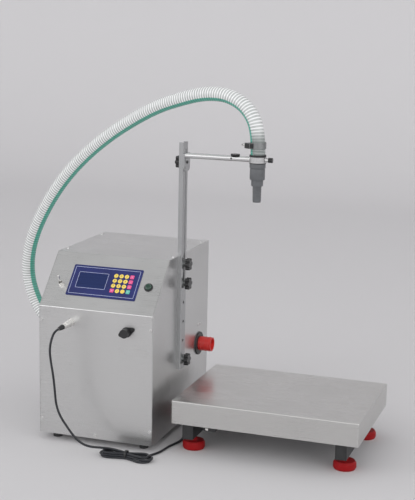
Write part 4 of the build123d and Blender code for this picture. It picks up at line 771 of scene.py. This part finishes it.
@dataclass
class SensorCable:
    """Cable of the weighing platform, with its spare length tied in a hank on the floor."""

    places: Places
    palette: Palette
    radius: float = 0.003
    turns: tuple[HankTurn, ...] = (
        HankTurn(0.0625, 0.0145, 0.0640, 0.0140, 0.0145, (0.0032, 0.0142), (-0.0032, 0.0142)),
        HankTurn(0.0715, 0.0172, 0.0710, 0.0142, 0.0088, (0.0030, 0.0086), (-0.0050, 0.0088)),
        HankTurn(0.0670, 0.0200, 0.0670, 0.0152, 0.0034, (0.0002, 0.0034), (-0.0060, 0.0034)),
    )
    leave: tuple[float, float] = (0.0085, 0.0034)
    middle: tuple[float, float, float] = (114, -60, 0)
    loop_step: float = 0.52
    loop_points: int = 7
    strand_points: int = 5
    way_in: tuple[tuple[float, float, float], ...] = ((-0.048, 0.0035, 0.0205), (-0.022, 0.004, 0.0178))
    way_out: tuple[tuple[float, float], ...] = ((0.012, 0.0112), (0.024, 0.0162), (0.036, 0.0222))
    plug_place: tuple[float, float] = (-70, 331)
    drop: tuple[tuple[float, float, float], ...] = (
        (-70, -98, 331),
        (-73, -112, 312),
        (-77, -114, 285),
        (-76, -109, 253),
        (-71, -106, 217),
        (-68, -103, 177),
        (-66, -101, 139),
        (-57, -98, 108),
        (-38, -95, 79),
        (-18, -90, 50),
        (2, -84, 32),
        (22, -74, 24),
        (43, -64, 22),
    )
    run: tuple[tuple[float, float, float], ...] = (
        (161, -32, 3.4),
        (172, -13, 3.4),
        (181, 9, 3.4),
        (185, 34, 3.4),
        (188, 60, 3.4),
        (195, 82, 3.4),
        (201, 106, 3.4),
        (202, 132, 4),
        (198, 151, 12),
        (192, 160, 29),
        (192, 163, 47),
        (201, 164.5, 59),
    )
    gland_place: tuple[float, float] = (165, 60)
    tie_middle: tuple[float, float, float] = (114, -58.7, 0)
    tie_reach: float = 0.0112
    tie_rise: float = 0.0106
    tie_half: float = 0.003
    tie_columns: int = 40
    off_floor: float = 0.0002
    boot_length: float = 0.026
    boot_radii: tuple[float, float] = (0.0048, 0.0072)
    boot_bore: float = 0.0034
    groove_pitch: float = 0.0043
    groove_depth: float = 0.0005

    def strand(self, tie: np.ndarray, end: np.ndarray, radius: float) -> np.ndarray:
        """Points from the tie out to the start of an end loop.

        x moves evenly, and y and z move by 3 s^2 - 2 s^3, so the strand is level at both ends. The last
        point keeps as far from the loop as the loop's own points are from each other.

        Args:
            tie: the strand's place in the tie.
            end: first point of the loop.
            radius: the loop's radius.

        Returns:
            Four points.
        """
        last = 1 - self.loop_step * radius / abs(end[0])
        share = np.linspace(0, last, self.strand_points)[1:, None]
        points = tie + (end - tie) * share * share * (3 - 2 * share)
        points[:, 0] = tie[0] + (end[0] - tie[0]) * share[:, 0]
        return points

    def end_loop(self, side: int, reach: float, radius: float, height: float) -> np.ndarray:
        """Points of the half circle that ends a turn.

        x is side * (reach - radius + radius * cos a) and y is side * radius * sin a, with a running from
        a quarter turn to minus a quarter turn.

        Args:
            side: 1 for the right end or -1 for the left.
            reach: how far the loop reaches from the tie.
            radius: the loop's radius.
            height: the height it lies at.

        Returns:
            The loop's points.
        """
        angle = np.linspace(np.pi / 2, -np.pi / 2, self.loop_points)
        x = side * (reach - radius + radius * np.cos(angle))
        return np.stack([x, side * radius * np.sin(angle), np.full(self.loop_points, height)], -1)

    def hank(self) -> list[Vector]:
        """Points of the hank, in from the left and out at the back on the right.

        Each turn runs right along the back, round its right loop, left along the front and round its
        left loop, through the tie both times. Each turn lies lower than the one before.
        """
        parts = [np.array(self.way_in)]
        ties = [np.array([0, *turn.tie_back]) for turn in self.turns] + [np.array([0, *self.leave])]
        for turn, back, following in zip(self.turns, ties, ties[1:]):
            front = np.array([0, *turn.tie_front])
            right = self.end_loop(1, turn.right_reach, turn.right_radius, turn.height)
            left = self.end_loop(-1, turn.left_reach, turn.left_radius, turn.height)
            parts += [
                back[None],
                self.strand(back, right[0], turn.right_radius),
                right,
                self.strand(front, right[-1], turn.right_radius)[::-1],
                front[None],
                self.strand(front, left[0], turn.left_radius),
                left,
                self.strand(following, left[-1], turn.left_radius)[::-1],
            ]
        floor = self.leave[1]
        parts.append(np.array([ties[-1], *([x, y, floor] for x, y in self.way_out)]))
        middle = self.places.point(*self.middle)
        return [middle + Vector(point) for point in np.concatenate(parts).tolist()]

    def route(self) -> list[Vector]:
        """The cable's whole route: plug to hank, hank, and hank to the platform's gland."""
        at = self.places.point
        plug_x, plug_z = self.plug_place
        gland_y, gland_z = self.gland_place
        plug = Vector((at(plug_x, 0, 0).x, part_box("sensor_plug")[0][1], at(0, 0, plug_z).z))
        gland = Vector((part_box("cable_gland")[0][0], at(0, gland_y, 0).y, at(0, 0, gland_z).z))
        first = [plug, *(at(*stop) for stop in self.drop)]
        last = [*(at(*stop) for stop in self.run), gland]
        return first + self.hank() + last

    def build(self) -> None:
        route = self.route()
        line = smooth_line("cable_line", route)
        curve = nurbs_curve("sensor_cable_line", route, self.radius, 8)
        cable = bpy.data.objects.new("sensor_cable_line", curve)
        bpy.context.scene.collection.objects.link(cable)
        cable.data.materials.append(self.palette.get("cable_black"))
        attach(cable, "frame")
        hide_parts("sensor_cable", "platform_cable", "cable_hank")
        tie = self.tie()
        boot = self.boot()
        log.info("cable %.3f m", length_of(line))

    def tie(self) -> bpy.types.Object:
        """Tie round the hank's middle: an oval band that stands just off the floor.

        y is reach * cos a and z is rise * (1 + sin a), once for the inside and a tenth larger for the
        outside, on both edges of the band.

        Returns:
            The tie.
        """
        middle = self.places.point(*self.tie_middle)
        angle = np.linspace(0, 2 * np.pi, self.tie_columns, endpoint=False)
        rise, low = self.tie_rise, self.off_floor
        flat = np.zeros(self.tie_columns)
        ring = np.stack([flat, self.tie_reach * np.cos(angle), rise * np.sin(angle) + rise + low], -1)
        thick = 1.1 * ring - np.array([0, 0, 0.1 * rise])
        left, right = [-self.tie_half, 0, 0], [self.tie_half, 0, 0]
        loops = [ring + left, thick + left, thick + right, ring + right, ring + left]
        points = np.array(middle) + np.stack(loops)
        points[..., 2] = np.clip(points[..., 2], low, None)
        tie = grid_mesh("hank_tie", points, caps=False)
        weld = tie.modifiers.new("Weld", "WELD")
        weld.merge_threshold = 0.000001
        tie.data.materials.append(self.palette.get("black_plastic"))
        outward_first(tie)
        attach(tie, "frame")
        return tie

    def boot(self) -> bpy.types.Object:
        """Ribbed black strain relief over the plug's tail, grooved round at an even pitch.

        Returns:
            The boot.
        """
        low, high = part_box("sensor_plug")
        middle = Vector(((low[0] + high[0]) / 2, low[1] + 0.0005, (low[2] + high[2]) / 2))
        length, bore = self.boot_length, self.boot_bore
        small, large = self.boot_radii
        distance = np.linspace(0, length, 40)
        radius = small + (large - small) * distance / length
        groove = self.groove_depth * (np.sin(2 * np.pi * distance / self.groove_pitch) > 0.2)
        profile = [(0, bore)] + list(zip(distance, radius - groove)) + [(length, bore)]
        boot = lathe("plug_boot", middle, Vector((0, 1, 0)), profile, 36)
        boot.data.materials.append(self.palette.get("black_rubber"))
        outward_first(boot)
        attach(boot, "frame")
        return boot


def outward_first(piece: bpy.types.Object) -> None:
    """Turns a closed mesh's faces outwards: they are flipped if its signed volume is negative.

    The signed volume is the sum over triangles of a corner's dot product with the cross product of the
    other two, measured from the mean corner.

    Args:
        piece: the object whose mesh is turned.
    """
    mesh = piece.data
    mesh.calc_loop_triangles()
    triangles = np.empty(len(mesh.loop_triangles) * 3, np.int32)
    mesh.loop_triangles.foreach_get("vertices", triangles)
    places = np.empty(len(mesh.vertices) * 3, np.float32)
    mesh.vertices.foreach_get("co", places)
    corner = places.reshape(-1, 3)[triangles.reshape(-1, 3)]
    corner = corner - corner.mean(axis=(0, 1))
    volume = np.einsum("ij,ij->i", corner[:, 0], np.cross(corner[:, 1], corner[:, 2])).sum()
    if volume < 0:
        mesh.flip_normals()


@dataclass
class Keypad:
    """Printed lines, window frame and key legends of the keypad."""

    slope: Slope
    palette: Palette
    size: tuple[float, float] = (198.0, 95.0)
    middle_up: float = 87.5
    thickness: float = 2.0
    window: tuple[float, float, float, float] = (-36.0, 89.0, 80.0, 44.0)
    key_pitch: float = 15.2
    key_middle: tuple[float, float] = (50.5, 87.0)
    key_proud: float = 0.8
    legend: float = 7.4
    legend_gap: float = 0.04
    inset: float = 12.0
    window_margin: float = 5.0
    border_width: float = 0.9
    window_line_width: float = 0.8
    line_height: float = 0.00012
    line_corner: float = 0.0018

    def line(self, name: str, x: float, up: float, size: tuple[float, float], width: float) -> None:
        """One printed border line.

        Args:
            name: the line's name.
            x: its middle along the slope, in millimetres from the cabinet's middle.
            up: its middle up the slope, in millimetres from the bend.
            size: its width and height in millimetres.
            width: width of the line in millimetres.
        """
        proud = self.thickness
        centre = self.slope.point(x, up, proud)
        size_m = (size[0] * MM, size[1] * MM)
        ring = frame_ring(
            name, centre, Vector((1, 0, 0)), self.slope.up, size_m, width * MM, self.line_height,
            self.line_corner,
        )
        ring.data.materials.append(self.palette.get("print_white"))
        outward_first(ring)
        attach(ring, "frame")

    def legends(self) -> None:
        """Digits on the round keys, generic marks on the square ones."""
        marks = {
            "number_keys": ("123 ", "456 ", "789 ", " 0. "),
            "function_keys": ("   +", "   -", "   x", "o   "),
            "enter_key": ("    ", "    ", "    ", "   ="),
        }
        for node, rows in marks.items():
            pieces = [
                self.glyph(mark, column, row)
                for row, text in enumerate(rows)
                for column, mark in enumerate(text)
                if mark != " "
            ]
            joined = join_meshes(f"{node}_legends", pieces)
            material = "print_dark" if node == "number_keys" else "print_white"
            joined.data.materials.clear()
            joined.data.materials.append(self.palette.get(material))
            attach(joined, node)

    def glyph(self, mark: str, column: int, row: int) -> bpy.types.Object:
        """One legend, as a thin solid set on its key's top.

        Args:
            mark: the character.
            column: the key's column from the left.
            row: the key's row from the top.

        Returns:
            The legend as a mesh at its place.
        """
        text = bpy.data.curves.new("legend", "FONT")
        text.body = mark
        text.size = self.legend * MM
        text.extrude = 0.00006
        text.align_x = "CENTER"
        text.align_y = "CENTER"
        text.resolution_u = 3
        holder = bpy.data.objects.new("legend", text)
        bpy.context.scene.collection.objects.link(holder)
        bpy.context.view_layer.update()
        mesh = bpy.data.meshes.new_from_object(holder)
        bpy.data.objects.remove(holder)
        x = self.key_middle[0] + (column - 1.5) * self.key_pitch
        up = self.key_middle[1] - (row - 1.5) * self.key_pitch
        place = self.slope.point(x, up, self.thickness + self.key_proud + self.legend_gap)
        turn = Matrix((Vector((1, 0, 0)), self.slope.up, self.slope.normal)).transposed().to_4x4()
        mesh.transform(Matrix.Translation(place) @ turn)
        made = bpy.data.objects.new("legend", mesh)
        bpy.context.scene.collection.objects.link(made)
        return made

    def build(self) -> None:
        """Builds the border line, the window's frame and the legends."""
        x, up, width, height = self.window
        border = (self.size[0] - self.inset, self.size[1] - self.inset)
        self.line("keypad_border", 0.0, self.middle_up, border, self.border_width)
        frame_size = (width + self.window_margin, height + self.window_margin)
        self.line("window_border", x, up, frame_size, self.window_line_width)
        self.legends()
        log.info("keypad lines and legends")


def join_meshes(name: str, pieces: list[bpy.types.Object]) -> bpy.types.Object:
    """Joins meshes that already lie in place into one new piece.

    Args:
        name: the new piece's name.
        pieces: the objects to join.

    Returns:
        The joined object.
    """
    context = {"active_object": pieces[0], "selected_editable_objects": pieces}
    with bpy.context.temp_override(**context):
        if len(pieces) > 1:
            bpy.ops.object.join()
    pieces[0].name = name
    pieces[0].data.name = name
    return pieces[0]


def rounded_bar(length: float, radius: float, edge: float = 0.0006) -> list[tuple[float, float]]:
    """Lathe profile of a solid bar with rounded ends.

    Args:
        length: length along the axis.
        radius: radius of the bar.
        edge: radius of its edges.

    Returns:
        (distance, radius) points.
    """
    return [
        (0, 0.0001), (0, radius - edge), (edge, radius), (length - edge, radius),
        (length, radius - edge), (length, 0.0001),
    ]


def rounded_block(
    name: str, centre: Vector, along: Vector, size: tuple[float, float, float], edge: float
) -> bpy.types.Object:
    """Block with rounded edges.

    Args:
        name: the piece's name.
        centre: its middle.
        along: level unit vector along its length.
        size: length, width and height in metres.
        edge: radius of the edges.

    Returns:
        The new object.
    """
    axes = (along, Vector((0, 0, 1)).cross(along), Vector((0, 0, 1)))
    signs = [(a, b, c) for a in (-0.5, 0.5) for b in (-0.5, 0.5) for c in (-0.5, 0.5)]
    nowhere = Vector((0, 0, 0))
    corners = [
        centre + sum((axis * sign * extent for axis, sign, extent in zip(axes, row, size)), nowhere)
        for row in signs
    ]
    faces = [(0, 1, 3, 2), (4, 6, 7, 5), (0, 4, 5, 1), (2, 3, 7, 6), (0, 2, 6, 4), (1, 5, 7, 3)]
    mesh = bpy.data.meshes.new(name)
    mesh.from_pydata(corners, [], faces)
    mesh.update()
    made = bpy.data.objects.new(name, mesh)
    bpy.context.scene.collection.objects.link(made)
    bevel = made.modifiers.new("Bevel", "BEVEL")
    bevel.width = edge
    bevel.segments = 4
    return made


@dataclass
class LevelBracket:
    """Black holder of the spirit level under the platform's front edge."""

    places: Places
    palette: Palette
    holder_place: tuple[float, float, float] = (309.5, 39, 74.5)
    holder_size: tuple[float, float, float] = (0.037, 0.016, 0.01)
    holder_edge: float = 0.0035
    window_place: tuple[float, float, float] = (303, 30.8, 74.5)
    window_size: tuple[float, float, float] = (0.008, 0.0024, 0.006)
    window_edge: float = 0.0009

    def build(self) -> None:
        """Builds the holder and the level's small pale window."""
        at = self.places.point
        sideways = Vector((1, 0, 0))
        holder = rounded_block(
            "level_bracket", at(*self.holder_place), sideways, self.holder_size, self.holder_edge
        )
        window = rounded_block(
            "level_window", at(*self.window_place), sideways, self.window_size, self.window_edge
        )
        for piece, slot in ((holder, "frame_black"), (window, "plug_metal")):
            piece.data.materials.append(self.palette.get(slot))
            outward_first(piece)
            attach(piece, "frame")
        log.info("level bracket")


@dataclass
class NozzleTrim:
    """Rubber rings between the nozzle's collar, ring and hose fitting, its grip and its clamp's screw."""

    palette: Palette
    lower_drop: float = 0.0022
    lower_seal: tuple[float, float] = (0.0221, 0.0021)
    upper_rise: float = 0.0136
    upper_seal: tuple[float, float] = (0.0219, 0.0018)
    seal_wall: float = 0.004
    seal_edge: float = 0.0006
    grip_rise: float = 0.0175
    grip_distance: tuple[float, ...] = (0, 0, 0.0008, 0.0262, 0.027, 0.027)
    grip_radius: tuple[float, ...] = (0.0185, 0.0194, 0.0197, 0.0197, 0.0194, 0.0185)
    grip_ripple: tuple[int, float] = (36, 0.006)
    clamp_turn: float = -38.0
    clamp_out: float = 0.0264
    housing_size: tuple[float, float, float] = (0.0226, 0.0126, 0.0146)
    housing_shift: float = 0.004
    housing_edge: float = 0.0018
    screw_start: float = 0.0335
    screw_size: tuple[float, float] = (0.0178, 0.0029)

    def build(self) -> None:
        """Builds the two black sealing rings, the grip ribs of the nozzle's body and the clamp's trim."""
        low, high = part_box("nozzle_body")
        arm_low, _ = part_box("arm_tube")
        middle = Vector(((low[0] + high[0]) / 2, (low[1] + high[1]) / 2, 0))
        under = Vector((middle.x, middle.y, arm_low[2] - self.lower_drop))
        self.ring("nozzle_seal_lower", under, *self.lower_seal)
        over = Vector((middle.x, middle.y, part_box("hose_fitting")[0][2] + self.upper_rise))
        self.ring("nozzle_seal_upper", over, *self.upper_seal)
        body = Vector((middle.x, middle.y, low[2] + self.grip_rise))
        profile = list(zip(self.grip_distance, self.grip_radius))
        ribs = lathe("nozzle_grip", body, Vector((0, 0, 1)), profile, 144, self.grip_ripple)
        ribs.data.materials.append(self.palette.get("nozzle_grey"))
        outward_first(ribs)
        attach(ribs, "arm")
        self.clamp_screw(middle)
        log.info("nozzle trim")

    def clamp_screw(self, middle: Vector) -> None:
        """Black cover of the hose clamp's housing and the bright screw that leaves it.

        Args:
            middle: the nozzle's axis, at any height.
        """
        low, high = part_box("nozzle_hose_clamp")
        turn = math.radians(self.clamp_turn)
        along = Vector((math.cos(turn), math.sin(turn), 0))
        across = Vector((0, 0, 1)).cross(along)
        centre = Vector((middle.x, middle.y, (low[2] + high[2]) / 2)) - across * self.clamp_out
        shifted = centre - along * self.housing_shift
        housing = rounded_block("clamp_housing", shifted, along, self.housing_size, self.housing_edge)
        start = centre - along * self.screw_start
        screw = lathe("clamp_screw", start, along, rounded_bar(*self.screw_size), 24)
        for piece, slot in ((housing, "black_plastic"), (screw, "switch_metal")):
            piece.data.materials.append(self.palette.get(slot))
            outward_first(piece)
            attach(piece, "arm")

    def ring(self, name: str, origin: Vector, radius: float, height: float) -> None:
        """One sealing ring with rounded edges.

        Args:
            name: the ring's name.
            origin: middle of its lower face.
            radius: outer radius.
            height: height of the ring.
        """
        inner, edge = radius - self.seal_wall, self.seal_edge
        profile = [
            (0, inner), (0, radius - edge), (edge, radius), (height - edge, radius),
            (height, radius - edge), (height, inner), (0, inner),
        ]
        ring = lathe(name, origin, Vector((0, 0, 1)), profile, 64)
        ring.data.materials.append(self.palette.get("black_rubber"))
        outward_first(ring)
        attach(ring, "arm")


# ---------------------------------------------------------------- studio
@dataclass
class Studio:
    """Pale sweep, soft lights and the camera."""

    places: Places
    eye: tuple[float, float, float] = (1283.7, -2900.1, 1155.7)
    yaw: float = 18.64
    pitch: float = 11.08
    roll: float = 1.14
    focal: float = 89.68
    paper: tuple[float, float, float] = (0.68, 0.67, 0.68)
    floor_reach: float = 60.0
    back: float = 4.0
    bend_radius: float = 2.2
    backdrop_top: float = 9.0
    room: tuple[float, float, float] = (0.95, 0.95, 0.96)
    room_rise: tuple[float, float] = (0.4, 0.95)
    room_strength: tuple[float, float] = (1.4, 0.36)
    aim: tuple[float, float, float] = (0.0, 0.0, 0.35)

    def build(self) -> None:
        """Builds the sweep, the lights and the camera."""
        self.sweep()
        self.lights()
        self.camera()
        log.info("studio ready")

    def sweep(self) -> None:
        """Floor that curves up into a backdrop: y and z follow a line, a quarter circle and a line."""
        bend = np.linspace(0, np.pi / 2, 24)
        radius, back = self.bend_radius, self.back
        y = np.concatenate([[-self.floor_reach], back + radius * np.sin(bend), [back + radius]])
        z = np.concatenate([[0.0], radius * (1 - np.cos(bend)), [self.backdrop_top]])
        x = np.array([-self.floor_reach, self.floor_reach])
        points = np.stack(np.broadcast_arrays(x[None, :], y[:, None], z[:, None]), -1)
        mesh = bpy.data.meshes.new("sweep")
        rows = np.arange(len(y) - 1) * 2
        faces = np.stack([rows, rows + 1, rows + 3, rows + 2], -1)
        mesh.from_pydata(points.reshape(-1, 3).tolist(), [], faces.tolist())
        mesh.polygons.foreach_set("use_smooth", np.ones(len(faces), bool))
        floor = bpy.data.objects.new("sweep", mesh)
        bpy.context.scene.collection.objects.link(floor)
        board = NodeBoard("paper")
        board.set(Base_Color=(*self.paper, 1.0), Roughness=0.9, Specular_IOR_Level=0.1)
        mesh.materials.append(board.material)

    def light(self, name: str, place: tuple[float, float, float], size: float, power: float) -> None:
        """One square softbox that looks at the object's middle.

        Args:
            name: the lamp's name.
            place: where it stands, in metres.
            size: side of the square.
            power: its power in watts.
        """
        data = bpy.data.lights.new(name, "AREA")
        data.size = size
        data.energy = power
        lamp = bpy.data.objects.new(name, data)
        lamp.location = place
        aim = Vector(self.aim) - Vector(place)
        lamp.rotation_euler = aim.to_track_quat("-Z", "Y").to_euler()
        bpy.context.scene.collection.objects.link(lamp)

    def lights(self) -> None:
        """A bright room that darkens towards its ceiling, a wide top light, a key and a fill."""
        world = bpy.data.worlds.new("studio_world")
        world.use_nodes = True
        nodes, links = world.node_tree.nodes, world.node_tree.links
        nodes["Background"].inputs["Color"].default_value = (*self.room, 1.0)
        direction = nodes.new("ShaderNodeTexCoord")
        parts = nodes.new("ShaderNodeSeparateXYZ")
        strength = nodes.new("ShaderNodeMapRange")
        strength.inputs["From Min"].default_value, strength.inputs["From Max"].default_value = self.room_rise
        strength.inputs["To Min"].default_value, strength.inputs["To Max"].default_value = self.room_strength
        links.new(direction.outputs["Generated"], parts.inputs["Vector"])
        links.new(parts.outputs["Z"], strength.inputs["Value"])
        links.new(strength.outputs["Result"], nodes["Background"].inputs["Strength"])
        bpy.context.scene.world = world
        self.light("top", (0.3, 0.2, 3.4), 3.2, 13.0)
        self.light("key", (-2.2, -2.6, 2.3), 1.8, 12.0)
        self.light("fill", (2.8, -2.0, 1.6), 1.6, 7.0)

    def camera(self) -> None:
        """Camera from its own right, up and back directions, rolled about its line of sight."""
        yaw, pitch, roll = (math.radians(angle) for angle in (self.yaw, self.pitch, self.roll))
        ahead = Vector((-math.sin(yaw) * math.cos(pitch), math.cos(yaw) * math.cos(pitch), -math.sin(pitch)))
        level = Vector((math.cos(yaw), math.sin(yaw), 0))
        above = level.cross(ahead)
        right = level * math.cos(roll) + above * math.sin(roll)
        up = above * math.cos(roll) - level * math.sin(roll)
        data = bpy.data.cameras.new("camera")
        data.sensor_width = 36.0
        data.lens = self.focal
        data.clip_end = 120.0
        camera = bpy.data.objects.new("camera", data)
        turn = Matrix((right, up, -ahead)).transposed().to_4x4()
        camera.matrix_world = Matrix.Translation(self.places.point(*self.eye)) @ turn
        bpy.context.scene.collection.objects.link(camera)
        bpy.context.scene.camera = camera


def main() -> None:
    """Builds the studio, the cords, the keypad's print and the trim, and dresses the frame."""
    logging.basicConfig(level=logging.INFO, format="%(name)s: %(message)s")
    bpy.context.scene.view_settings.view_transform = "Standard"
    places = Places.read()
    slope = Slope(places)
    palette = Palette()
    Studio(places).build()
    palette.dress_frame()
    Hose(places, palette).build()
    SensorCable(places, palette).build()
    Keypad(slope, palette).build()
    NozzleTrim(palette).build()
    LevelBracket(places, palette).build()


if __name__ == "__main__":
    main()
